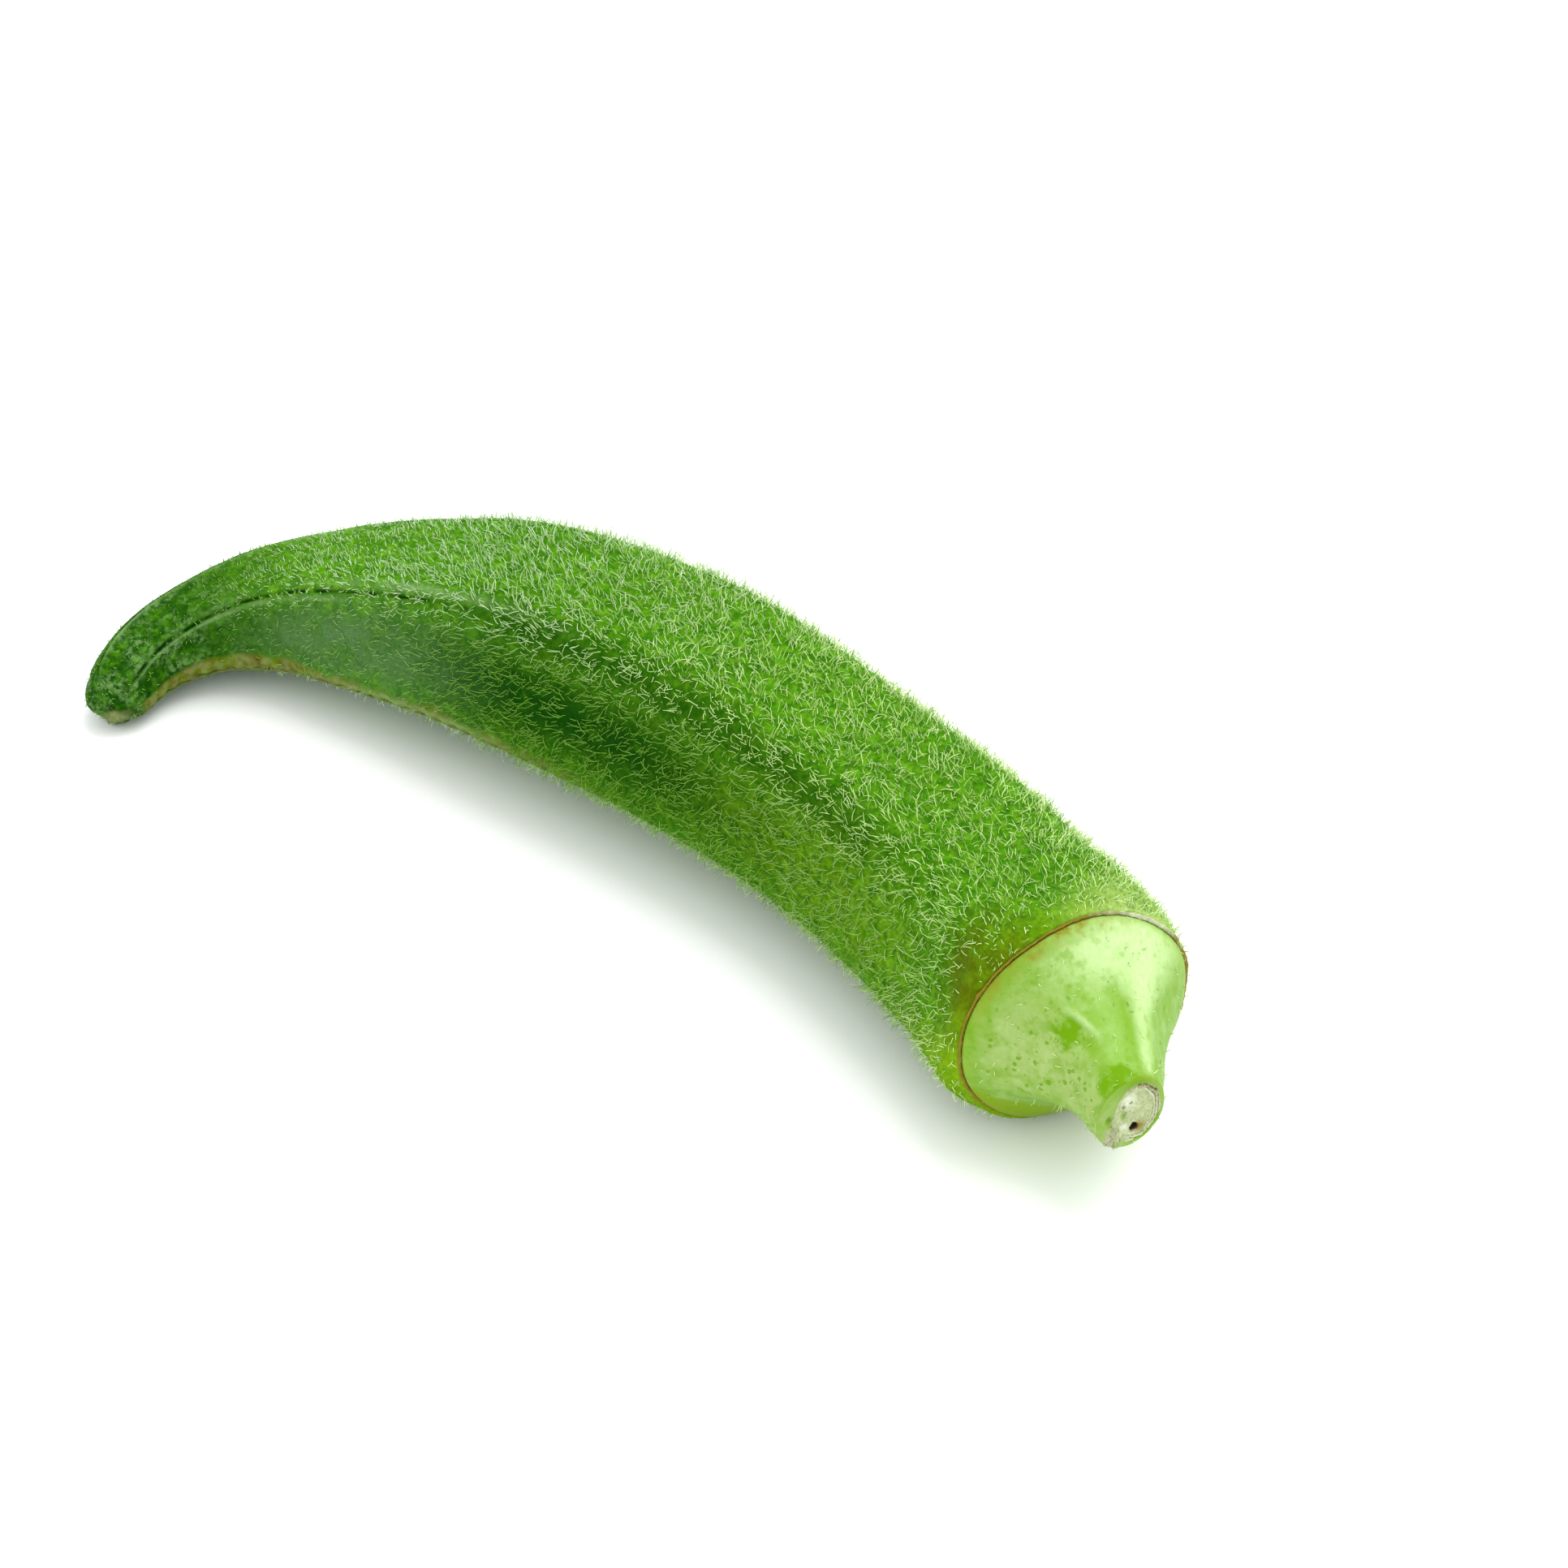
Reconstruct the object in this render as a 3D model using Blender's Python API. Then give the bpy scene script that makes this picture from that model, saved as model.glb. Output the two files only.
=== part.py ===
"""A picked okra pod, lying on its side: one solid, because it grew as one piece.

The pod is a loft of five-ribbed sections. Its centre line starts at the cut stem, runs level
through the cap to the ring scar, bends gently along the pod and hooks round at the blunt tip.
+X runs from the tip to the stem end, +Z is up, and the origin is on the table, under the middle.
"""

import math

import bmesh
import bpy
import numpy as np
from mathutils import Matrix, Vector

# ---- driving dimensions, in metres and radians ----
POD_LENGTH = 0.109  # from the ring scar to the tip, along the centre line
CAP_LENGTH = 0.0121  # from the ring scar to the cut stem
RING_RADIUS = 0.0094  # at the ribs, where the cap meets the pod

START_HEADING = math.radians(150.5)  # the way the pod leaves its cap, seen from above
BODY_BEND = math.radians(57)  # the even bend along the whole pod
HOOK_BEND = math.radians(101.3)  # what the hooked tip adds
HOOK_START = 0.0843
HOOK_TIGHTENING = 1.46

# Rib radius along the pod: (distance from the ring, radius)
GIRTH = (
    (0.000, RING_RADIUS),
    (0.0015, 0.01042),
    (0.004, 0.01052),
    (0.009, 0.01010),
    (0.016, 0.01006),
    (0.030, 0.00986),
    (0.049, 0.01053),
    (0.065, 0.00991),
    (0.078, 0.00803),
    (0.089, 0.00585),
    (0.099, 0.00395),
    (0.109, 0.00295),
)
SHOULDER = 0.003  # where the pod is fullest behind the ring scar
TIP_DOME = 0.003  # the rounded end takes up this much of the length
TIP_DIMPLE = 0.0005

RIBS = 5
FIRST_RIB = math.radians(-41.2)  # how far the first rib leans from straight up, towards -Y
RIB_TWIST = math.radians(2.2)  # how far the ribs wind round by the tip
# How sharp the ribs are along the cap and the pod: 3 gives a round section
RIB_SHARPNESS = (
    (-0.0115, 3.0),
    (-0.0070, 5.9),
    (-0.0035, 5.9),
    (0.000, 2.8),
    (0.004, 7.5),
    (0.012, 6.5),
    (0.045, 7.0),
    (0.080, 10.0),
    (0.109, 7.0),
)

# A seam runs along each rib's crest on the tip half: a groove between two low lips
SEAM_START = 0.040
SEAM_FULL = 0.062
SEAM_DEPTH = 0.00028
SEAM_HALF_WIDTH = math.radians(3.5)
SEAM_LIP = 0.00012
SEAM_LIP_PLACE = math.radians(7)
SEAM_LIP_HALF_WIDTH = math.radians(5)

# The cap is bell-shaped and carries the ribs on, fading into the round stem
STEM_CORE = 0.0003
BELL_LENGTH = 0.0062
BELL_FLARE = 1.41
STEM_LEAN = Vector((-0.0016, 0.0, -0.0006))  # where the stem's bend takes its cut end
STEM_BEVEL = 0.0002
CUT_SLANT = math.radians(18)  # how far the cut leans from square
CUT_TURN = math.radians(48)  # the side where the slanting cut reaches furthest into the stem
SLANT_REACH = 0.004  # how far up the stem the skin is drawn along with it
CUT_DISH = 0.00035  # how far the cut face is sunk inside its rim
PITH_HOLE_RADIUS = 0.00055
PITH_HOLE_DEPTH = 0.0008
# The cut face's rings: (share of the stem's radius, share of the dish's depth)
CUT_RINGS = ((0.55, 0.6), (0.84, 0.25), (0.93, 0.0))

# The ring scar is a thin raised lip with a groove on its cap side
SCAR_LIP = 0.00030
SCAR_GROOVE = 0.00022
SCAR_WIDTH = 0.0004
SCAR_WANDER = 0.00030  # how far the ring strays along the pod
SCAR_LEAN = 0.00033  # how far its upper side leans towards the stem
WANDER_REACH = 0.004  # how far from the ring the skin strays with it

# The underside is pressed flat where the pod's weight lies on the table
PRESS = 0.0002
BELLY_LIFT = 0.0003  # how far the pod arches clear between its resting places

# ---- how finely the loft is divided ----
RIB_OFFSETS = [math.radians(a) for a in (-27, -19, -12, -7, -3.5, 0, 3.5, 7, 12, 19, 27, 36)]
CAP_STEPS = 13
POD_STEPS = 46
TIP_STEPS = 5


def ease(t):
    """0 below 0, 1 above 1, with a smooth rise between."""
    t = min(max(t, 0.0), 1.0)
    return t * t * (3 - 2 * t)


def along(points, s):
    """The value at s of a smooth line through (s, value) points, level at each end."""
    if s <= points[0][0]:
        return points[0][1]
    if s >= points[-1][0]:
        return points[-1][1]
    last = len(points) - 1
    i = max(k for k in range(last) if points[k][0] <= s)
    (s0, v0), (s1, v1) = points[i], points[i + 1]

    def slope(k):
        if k in (0, last):
            return 0.0
        return (points[k + 1][1] - points[k - 1][1]) / (points[k + 1][0] - points[k - 1][0])

    width = s1 - s0
    t = (s - s0) / width
    return (
        v0 * (2 * t**3 - 3 * t**2 + 1)
        + v1 * (3 * t**2 - 2 * t**3)
        + slope(i) * width * (t**3 - 2 * t**2 + t)
        + slope(i + 1) * width * (t**3 - t**2)
    )


# ---- the section: how far the skin is from the centre line ----


def rib_angle(s):
    """Where the first rib is at s, measured from straight up."""
    return FIRST_RIB + RIB_TWIST * min(max(s / POD_LENGTH, 0.0), 1.0)


def from_rib(angle, s):
    """The angle from the nearest rib's crest, which is 0 on the crest and half a facet at most."""
    spacing = math.tau / RIBS
    return abs((angle - rib_angle(s) + spacing / 2) % spacing - spacing / 2)


def ribbed(angle, s):
    """A rounded five-sided outline with its corners at the ribs, as a share of the rib radius."""
    sharpness = along(RIB_SHARPNESS, s)
    half = math.pi / RIBS
    off = from_rib(angle, s)

    def outline(a):
        sides = [math.cos(a + k * half) for k in (-3, -1, 1, 3)]
        return sum(max(c, 0.0) ** sharpness for c in sides) ** (-1 / sharpness)

    return outline(off) / outline(0.0)


def seam(angle, s):
    """The seam on a rib's crest: below the skin in its groove, above it on its lips."""
    strength = ease((s - SEAM_START) / (SEAM_FULL - SEAM_START))
    strength *= ease((POD_LENGTH - s) / (2 * TIP_DOME))
    off = from_rib(angle, s)
    groove = -SEAM_DEPTH * max(0.0, 1 - off / SEAM_HALF_WIDTH)
    lip = SEAM_LIP * max(0.0, 1 - abs(off - SEAM_LIP_PLACE) / SEAM_LIP_HALF_WIDTH)
    return strength * (groove + lip)


def pod_radius(angle, s):
    """The skin of the green pod, from the ring at s = 0 to the tip at s = POD_LENGTH."""
    radius = along(GIRTH, s)
    dome_start = POD_LENGTH - TIP_DOME
    if s > dome_start:
        radius *= math.sqrt(max(0.0, 1 - ((s - dome_start) / TIP_DOME) ** 2))
    return radius * ribbed(angle, s) + seam(angle, s)


def cap_radius(angle, s):
    """The skin of the cap and stem. s is negative here: it runs from the ring to the cut."""
    height = -s
    bell = 1 / (1 + (height / BELL_LENGTH) ** BELL_FLARE)
    return (STEM_CORE + (RING_RADIUS - STEM_CORE) * bell) * ribbed(angle, s)


def wander(angle):
    """How far the ring scar strays along the pod at this angle."""
    strays = SCAR_WANDER * (0.6 * math.sin(2 * angle + 1.0) + 0.4 * math.sin(5 * angle))
    return strays - SCAR_LEAN * math.cos(angle)


def slant(angle, s, radius):
    """How far the slanting cut moves the skin along the stem here."""
    strength = ease((-s - CAP_LENGTH + SLANT_REACH) / SLANT_REACH)
    return strength * math.tan(CUT_SLANT) * radius * math.cos(angle - CUT_TURN)


# ---- the centre line ----


def heading(s):
    """Which way the centre line runs at s, seen from above."""
    turned = s / POD_LENGTH
    hook = max(s - HOOK_START, 0.0) / (POD_LENGTH - HOOK_START)
    return START_HEADING + BODY_BEND * turned + HOOK_BEND * hook**HOOK_TIGHTENING


def reach_down(s):
    """How far the section at s reaches below the centre line."""
    return max(-math.cos(a) * pod_radius(a, s) for a in np.linspace(0, math.tau, 120))


def height(s):
    """The centre line's height: the pod lies on its side, on the shoulder, the belly and the tip."""
    between = math.sin(math.tau * s / POD_LENGTH) ** 2
    steady = min(max(s, SHOULDER), POD_LENGTH - TIP_DOME)
    return reach_down(steady) + BELLY_LIFT * between


def centre_line():
    """A function that gives the centre line's point and its way towards the tip, at s."""
    places = np.linspace(0.0, POD_LENGTH, 401)
    step = places[1]
    ways = [heading(s + step / 2) for s in places[:-1]]
    xs = np.concatenate([[0.0], np.cumsum([step * math.cos(way) for way in ways])])
    ys = np.concatenate([[0.0], np.cumsum([step * math.sin(way) for way in ways])])
    zs = [height(s) for s in places]

    def point(s):
        if s < 0:
            straight = Vector((s * math.cos(START_HEADING), s * math.sin(START_HEADING), zs[0]))
            return straight + STEM_LEAN * (s / CAP_LENGTH) ** 2
        return Vector([np.interp(s, places, values) for values in (xs, ys, zs)])

    def point_and_way(s):
        return point(s), (point(s + step) - point(s - step)).normalized()

    return point_and_way


# ---- the loft ----


def stations():
    """Where the sections stand: each one's place s, its skin and what is added to its radius."""
    rows = []
    for k in range(CAP_STEPS + 1):
        from_scar = (CAP_LENGTH - STEM_BEVEL - SCAR_WIDTH) * (1 - k / CAP_STEPS)
        rows.append((-from_scar - SCAR_WIDTH, cap_radius, 0.0))
    rows.append((-0.5 * SCAR_WIDTH, cap_radius, -SCAR_GROOVE))
    rows.append((0.25 * SCAR_WIDTH, pod_radius, SCAR_LIP))
    rows.append((SCAR_WIDTH, pod_radius, SCAR_LIP))
    rows.append((2 * SCAR_WIDTH, pod_radius, 0.0))
    first, dome_start = 4 * SCAR_WIDTH, POD_LENGTH - TIP_DOME
    for k in range(POD_STEPS + 1):
        rows.append((first + (dome_start - first) * k / POD_STEPS, pod_radius, 0.0))
    for k in range(1, TIP_STEPS):
        turn = math.pi / 2 * k / TIP_STEPS
        rows.append((dome_start + TIP_DOME * math.sin(turn), pod_radius, 0.0))
    return rows


def section(bm, line, s, skin, extra, scale=1.0, sink=0.0):
    """A ring of vertices round the centre line at s."""
    centre, tangent = line(s)
    side = tangent.cross(Vector((0, 0, 1))).normalized()
    up = side.cross(tangent)
    spacing = math.tau / RIBS
    verts = []
    for rib in range(RIBS):
        for offset in RIB_OFFSETS:
            angle = rib_angle(s) + rib * spacing + offset
            stray = wander(angle) * math.exp(-((s / WANDER_REACH) ** 2))
            out = (skin(angle, s) + extra) * scale
            shift = stray + sink + slant(angle, s, out)
            direction = up * math.cos(angle) + side * math.sin(angle)
            verts.append(bm.verts.new(centre + direction * out + tangent * shift))
    return verts


def skin_between(bm, ring, following):
    """A band of faces from one section to the next."""
    count = len(ring)
    for i in range(count):
        j = (i + 1) % count
        bm.faces.new((ring[i], ring[j], following[j], following[i]))


def close_end(bm, ring, centre):
    """A fan of faces from a section to the point at its middle."""
    middle = bm.verts.new(centre)
    count = len(ring)
    for i in range(count):
        bm.faces.new((ring[i], ring[(i + 1) % count], middle))


def loft_pod():
    """The whole pod's closed mesh, before it is pressed on to the table."""
    bm = bmesh.new()
    line = centre_line()
    end = -CAP_LENGTH

    def disc(scale, sink):
        return section(bm, line, end, cap_radius, 0.0, scale, sink)

    hole = PITH_HOLE_RADIUS / cap_radius(0.0, end)
    cut_face = [disc(hole / 2, PITH_HOLE_DEPTH), disc(hole, CUT_DISH)]
    cut_face += [disc(share, CUT_DISH * depth) for share, depth in CUT_RINGS]
    rings = cut_face + [section(bm, line, *row) for row in stations()]
    for ring, following in zip(rings, rings[1:]):
        skin_between(bm, ring, following)
    stem_middle, stem_way = line(end)
    close_end(bm, rings[0], stem_middle + stem_way * PITH_HOLE_DEPTH)
    tip_middle, tip_way = line(POD_LENGTH)
    close_end(bm, rings[-1], tip_middle - tip_way * TIP_DIMPLE)
    bmesh.ops.recalc_face_normals(bm, faces=bm.faces)
    return bm


def lay_on_table(bm):
    """Puts the pod's middle over the origin and presses its lowest skin flat on z = 0."""
    low = [min(v.co[k] for v in bm.verts) for k in range(3)]
    high = [max(v.co[k] for v in bm.verts) for k in range(3)]
    shift = Vector((-(low[0] + high[0]) / 2, -(low[1] + high[1]) / 2, -low[2] - PRESS))
    bmesh.ops.transform(bm, matrix=Matrix.Translation(shift), verts=bm.verts)
    for v in bm.verts:
        v.co.z = max(v.co.z, 0.0)


def green_skin():
    """The pod's finish: a soft mid green with little shine."""
    material = bpy.data.materials.new("okra_skin")
    material.use_nodes = True
    surface = material.node_tree.nodes["Principled BSDF"]
    surface.inputs["Base Color"].default_value = (0.090, 0.260, 0.035, 1.0)
    surface.inputs["Roughness"].default_value = 0.55
    surface.inputs["Metallic"].default_value = 0.0
    return material


def build_pod():
    """The okra pod as one named object in its own collection."""
    bm = loft_pod()
    lay_on_table(bm)
    mesh = bpy.data.meshes.new("okra_pod")
    bm.to_mesh(mesh)
    bm.free()
    mesh.shade_smooth()
    mesh.set_sharp_from_angle(angle=math.radians(50))
    mesh.materials.append(green_skin())
    pod = bpy.data.objects.new("okra_pod", mesh)
    collection = bpy.data.collections.new("okra")
    bpy.context.scene.collection.children.link(collection)
    collection.objects.link(pod)


for leftover in list(bpy.data.objects):
    bpy.data.objects.remove(leftover)
build_pod()
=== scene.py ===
"""The looks of a picked okra pod: its hairy green skin, pale cap, papery scar and cut stem."""

import math

import bmesh
import bpy
import numpy as np
from bpy.props import FloatProperty, FloatVectorProperty, IntProperty, PointerProperty
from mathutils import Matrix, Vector, noise


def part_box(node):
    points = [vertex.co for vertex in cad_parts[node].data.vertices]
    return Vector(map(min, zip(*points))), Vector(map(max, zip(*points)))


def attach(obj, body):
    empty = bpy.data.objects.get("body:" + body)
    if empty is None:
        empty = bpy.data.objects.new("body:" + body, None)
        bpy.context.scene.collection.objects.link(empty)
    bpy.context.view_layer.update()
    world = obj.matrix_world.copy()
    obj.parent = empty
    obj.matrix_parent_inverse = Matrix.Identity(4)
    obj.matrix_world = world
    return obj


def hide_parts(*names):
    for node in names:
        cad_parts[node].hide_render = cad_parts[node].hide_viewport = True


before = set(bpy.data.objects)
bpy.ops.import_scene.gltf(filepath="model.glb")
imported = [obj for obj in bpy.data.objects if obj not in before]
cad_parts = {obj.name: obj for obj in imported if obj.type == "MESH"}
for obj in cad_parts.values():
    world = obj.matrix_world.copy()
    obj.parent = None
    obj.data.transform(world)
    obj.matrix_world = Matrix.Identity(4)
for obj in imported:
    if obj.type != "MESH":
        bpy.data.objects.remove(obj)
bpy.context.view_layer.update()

bl_info = {
    "name": "Okra Pod",
    "version": (1, 0, 0),
    "blender": (4, 5, 0),
    "location": "View3D > Sidebar > Okra",
    "description": "Dresses the solid of an okra pod with skin, hairs, cap, scar and cut stem",
    "category": "Object",
}

BODY = "root"
SOLID = "okra_pod"
MM = 1000  # in a metre
DEGREE = math.pi / 180

# ---- the pod's shape, as its solid has it, in metres and radians ----
POD_LENGTH = 0.109
CAP_LENGTH = 0.0121
RING_RADIUS = 0.0094
START_HEADING = 150.5 * DEGREE
BODY_BEND = 57 * DEGREE
HOOK_BEND = 101.3 * DEGREE
HOOK_START = 0.0843
HOOK_TIGHTENING = 1.46
GIRTH = (
    (0.0, RING_RADIUS), (0.0015, 0.01042), (0.004, 0.01052), (0.009, 0.0101), (0.016, 0.01006),
    (0.03, 0.00986), (0.049, 0.01053), (0.065, 0.00991), (0.078, 0.00803), (0.089, 0.00585),
    (0.099, 0.00395), (0.109, 0.00295),
)
SHOULDER = 0.003
TIP_DOME = 0.003
RIBS = 5
SPACING = math.tau / RIBS
FIRST_RIB = -41.2 * DEGREE
RIB_TWIST = 2.2 * DEGREE
RIB_SHARPNESS = (
    (-0.0115, 3.0), (-0.007, 5.9), (-0.0035, 5.9), (0.0, 2.8), (0.004, 7.5), (0.012, 6.5),
    (0.045, 7.0), (0.08, 10.0), (0.109, 7.0),
)
SEAM_START = 0.052
SEAM_FULL = 0.074
SEAM_PLACE = -4.4 * DEGREE  # from the rib's crest
STEM_CORE = 0.0003
BELL_LENGTH = 0.0062
BELL_FLARE = 1.41
STEM_LEAN = np.array((-0.0016, 0.0, -0.0006))
STEM_BEVEL = 0.0002
CUT_SLANT = 18 * DEGREE
CUT_TURN = 48 * DEGREE
SLANT_REACH = 0.004
SCAR_WANDER = 0.0003
SCAR_LEAN = 0.00033
WANDER_REACH = 0.004
BELLY_LIFT = 0.0003
PRESS = 0.0002

# ---- how finely the skins are divided ----
CREST_ANGLES = np.radians([0, 1.2, 2.4, 3.3, 4.0, 4.7, 5.5, 6.6, 8.0, 9.8, 11.8])
FACET_ANGLES = np.radians(np.linspace(14.0, 36.0, 8))
POD_ROW_STEP = 0.00026
CAP_ROW_STEP = 0.00012

# ---- small relief and clearances, in metres ----
GROOVE_HALF_WIDTH = 0.00021
DASH_LENGTH = 0.0011
FLUTE_HEIGHT = 0.00011
BEAD_SPACING = 0.00185
LOBE_HEIGHT = 0.00005
FOLD_HOLLOW = 0.0003
FOOT_FULLNESS = 0.0002
TOUCHES_TABLE = 0.00012
HAIR_CLEARANCE = 0.00006
TUFT_SCALE = 420.0  # of the noise, per metre
SWIRL_SCALE = 300.0


# ---- the rule that the pod grew by ----


def ease(t):
    """0 below 0, 1 above 1, with a smooth rise between."""
    t = np.clip(t, 0.0, 1.0)
    return t * t * (3 - 2 * t)


def hump(distance, reach):
    """1 at no distance, falling smoothly to 0 at the reach."""
    return 1 - ease(np.abs(distance) / reach)


def rise(s, start, length):
    """0 up to a start and 1 from a length past it, both in millimetres."""
    return ease((s - start / MM) / (length / MM))


def fall(s, start, length):
    """1 up to a start and 0 from a length past it, both in millimetres."""
    return 1 - rise(s, start, length)


def spot(s, place, reach):
    """1 at a place and 0 from a reach on either side of it, both in millimetres."""
    return hump(s - place / MM, reach / MM)


def wave(x, size, seed):
    """Smooth noise along a line, from -1 to 1."""
    flat = np.asarray(x, float).ravel() / size
    values = [noise.noise(Vector((t, seed, 0.37 * seed))) for t in flat]
    return np.array(values).reshape(np.shape(x))


def along(points, s):
    """The values at s of a smooth line through (s, value) points, level at each end."""
    knots, values = np.array(points).T
    slopes = np.zeros(len(knots))
    slopes[1:-1] = (values[2:] - values[:-2]) / (knots[2:] - knots[:-2])
    i = np.clip(np.searchsorted(knots, s, side="right") - 1, 0, len(knots) - 2)
    width = knots[i + 1] - knots[i]
    t = np.clip((s - knots[i]) / width, 0.0, 1.0)
    return (
        values[i] * (2 * t**3 - 3 * t**2 + 1)
        + values[i + 1] * (3 * t**2 - 2 * t**3)
        + slopes[i] * width * (t**3 - 2 * t**2 + t)
        + slopes[i + 1] * width * (t**3 - t**2)
    )


def rib_angle(s):
    """Where the first rib is at s, measured from straight up."""
    return FIRST_RIB + RIB_TWIST * np.clip(s / POD_LENGTH, 0.0, 1.0)


def around(angle, s, place=0.0):
    """The signed angle from a place, itself measured from the first rib."""
    return (angle - rib_angle(s) - place + math.pi) % math.tau - math.pi


def facing(angle, s):
    """A function: 1 at so many degrees from the first rib, and 0 from a reach to each side."""
    return lambda place, reach: hump(around(angle, s, place * DEGREE), reach * DEGREE)


def from_rib(angle, s, place=0.0):
    """The signed angle from the nearest rib's crest, or from a place beside it."""
    return (angle - rib_angle(s) - place + SPACING / 2) % SPACING - SPACING / 2


def seam_strength(s):
    """How strongly the seams show: not near the cap, fully on the hook."""
    return ease((s - SEAM_START) / (SEAM_FULL - SEAM_START)) * ease((POD_LENGTH - s) / 0.004)


def dashes(s):
    """How deep the seams' grooves are along s, from 0 to 1: they run as uneven dashes."""
    return np.clip(0.5 + 1.7 * wave(s[:, 0], DASH_LENGTH, 3.1), 0.0, 1.0)[:, None]


def groove_line(angle, s):
    """1 along the middle of each seam's groove, which is about 0.4 mm wide, and 0 beside it."""
    off = np.abs(from_rib(angle, s, SEAM_PLACE))
    return np.maximum(0.0, 1 - off * along(GIRTH, s) / GROOVE_HALF_WIDTH)


def ribbed(angle, s):
    """A rounded five-sided outline with its corners at the ribs, as a share of the rib radius."""
    sharpness = along(RIB_SHARPNESS, s)

    def outline(a):
        sides = [np.maximum(np.cos(a + k * math.pi / RIBS), 0.0) ** sharpness for k in (-3, -1, 1, 3)]
        return sum(sides) ** (-1 / sharpness)

    off = np.abs(from_rib(angle, s))
    return outline(off) / outline(0 * off)


def pod_radius(angle, s):
    """The green pod's skin, from the ring at s = 0 to the tip."""
    dome = np.clip((s - POD_LENGTH + TIP_DOME) / TIP_DOME, 0.0, 1.0)
    return along(GIRTH, s) * np.sqrt(1 - dome**2) * ribbed(angle, s)


def cap_radius(angle, s):
    """The skin of the cap and stem, where s is below 0."""
    bell = 1 / (1 + (np.maximum(-s, 0.0) / BELL_LENGTH) ** BELL_FLARE)
    return (STEM_CORE + (RING_RADIUS - STEM_CORE) * bell) * ribbed(angle, s)


def heading(s):
    """Which way the centre line runs at s, seen from above."""
    hook = np.maximum(s - HOOK_START, 0.0) / (POD_LENGTH - HOOK_START)
    return START_HEADING + BODY_BEND * s / POD_LENGTH + HOOK_BEND * hook**HOOK_TIGHTENING


def centre_line():
    """A function that gives the centre line's points and directions at s, before its shift."""
    places = np.linspace(0.0, POD_LENGTH, 401)
    step = places[1]
    ways = heading(places[:-1] + step / 2)
    xs = np.concatenate([[0.0], np.cumsum(step * np.cos(ways))])
    ys = np.concatenate([[0.0], np.cumsum(step * np.sin(ways))])
    turns = np.linspace(0.0, math.tau, 120)[:, None] + 0 * places
    steady = np.clip(places, SHOULDER, POD_LENGTH - TIP_DOME) + 0 * turns
    zs = np.max(-np.cos(turns) * pod_radius(turns, steady), axis=0)
    zs = zs + BELLY_LIFT * np.sin(math.tau * places / POD_LENGTH) ** 2
    start_way = np.array((math.cos(START_HEADING), math.sin(START_HEADING), 0.0))

    def points(s):
        bent = np.stack([np.interp(s, places, values) for values in (xs, ys, zs)], -1)
        lean = STEM_LEAN * ((np.minimum(s, 0.0) / CAP_LENGTH) ** 2)[..., None]
        straight = s[..., None] * start_way + (0.0, 0.0, zs[0]) + lean
        return np.where((s < 0)[..., None], straight, bent)

    def points_and_ways(s):
        ways = points(s + step) - points(s - step)
        return points(s), ways / np.linalg.norm(ways, axis=-1, keepdims=True)

    return points_and_ways


CENTRE_LINE = centre_line()


def middle_at(place):
    """The centre line's point and direction at one place."""
    return [v[0] for v in CENTRE_LINE(np.array([place]))]


def strays(angle, s, radius):
    """How far the skin lies towards the tip from its section, by the scar and the slanting cut."""
    scar = SCAR_WANDER * (0.6 * np.sin(2 * angle + 1.0) + 0.4 * np.sin(5 * angle))
    scar = (scar - SCAR_LEAN * np.cos(angle)) * np.exp(-((s / WANDER_REACH) ** 2))
    slant = ease((-s - CAP_LENGTH + SLANT_REACH) / SLANT_REACH) * math.tan(CUT_SLANT)
    return scar + slant * radius * np.cos(angle - CUT_TURN)


def skin_points(angle, s, radius, sink=0.0):
    """Points at these angles and places, at a radius from the centre line."""
    centre, tangent = CENTRE_LINE(s)
    side = np.cross(tangent, (0.0, 0.0, 1.0))
    side /= np.linalg.norm(side, axis=-1, keepdims=True)
    up = np.cross(side, tangent)
    shift = strays(angle, s, radius) + sink
    out = up * np.cos(angle)[..., None] + side * np.sin(angle)[..., None]
    return centre + out * radius[..., None] + tangent * shift[..., None]


def grid(places):
    """Angles and places of a skin's points, one row a place, closest together on each crest."""
    half = np.concatenate([CREST_ANGLES, FACET_ANGLES])
    one = np.concatenate([-half[:0:-1], half])[1:]
    columns = np.concatenate([one + k * SPACING for k in range(RIBS)])
    s = np.repeat(np.asarray(places, float)[:, None], len(columns), axis=1)
    return rib_angle(s) + columns[None, :], s


def table_shift():
    """What moves the pod from its centre line's own start to the solid's place on the table."""
    angle, s = grid(np.arange(0.0004, POD_LENGTH, 0.0005))
    pod = skin_points(angle, s, pod_radius(angle, s)).reshape(-1, 3)
    angle, s = grid(np.append(-CAP_LENGTH, np.linspace(STEM_BEVEL - CAP_LENGTH, -0.0004, 40)))
    radius = cap_radius(angle, s)
    radius[0] *= 0.93
    cap = skin_points(angle, s, radius).reshape(-1, 3)
    both = np.concatenate([pod, cap])
    low, high = both.min(axis=0), both.max(axis=0)
    solid_low, solid_high = (np.array(corner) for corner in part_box(SOLID))
    shift = (solid_low + solid_high) / 2 - (low + high) / 2
    shift[2] = solid_low[2] - low[2] - PRESS
    return shift


SHIFT = table_shift()


# ---- meshes ----


def store(mesh, name, numbers):
    """Stores numbers or vectors on a mesh's points."""
    kind, field = ("FLOAT_VECTOR", "vector") if numbers.ndim == 2 else ("FLOAT", "value")
    layer = mesh.attributes.new(name, kind, "POINT")
    layer.data.foreach_set(field, numbers.ravel().astype(np.float32))


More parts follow.
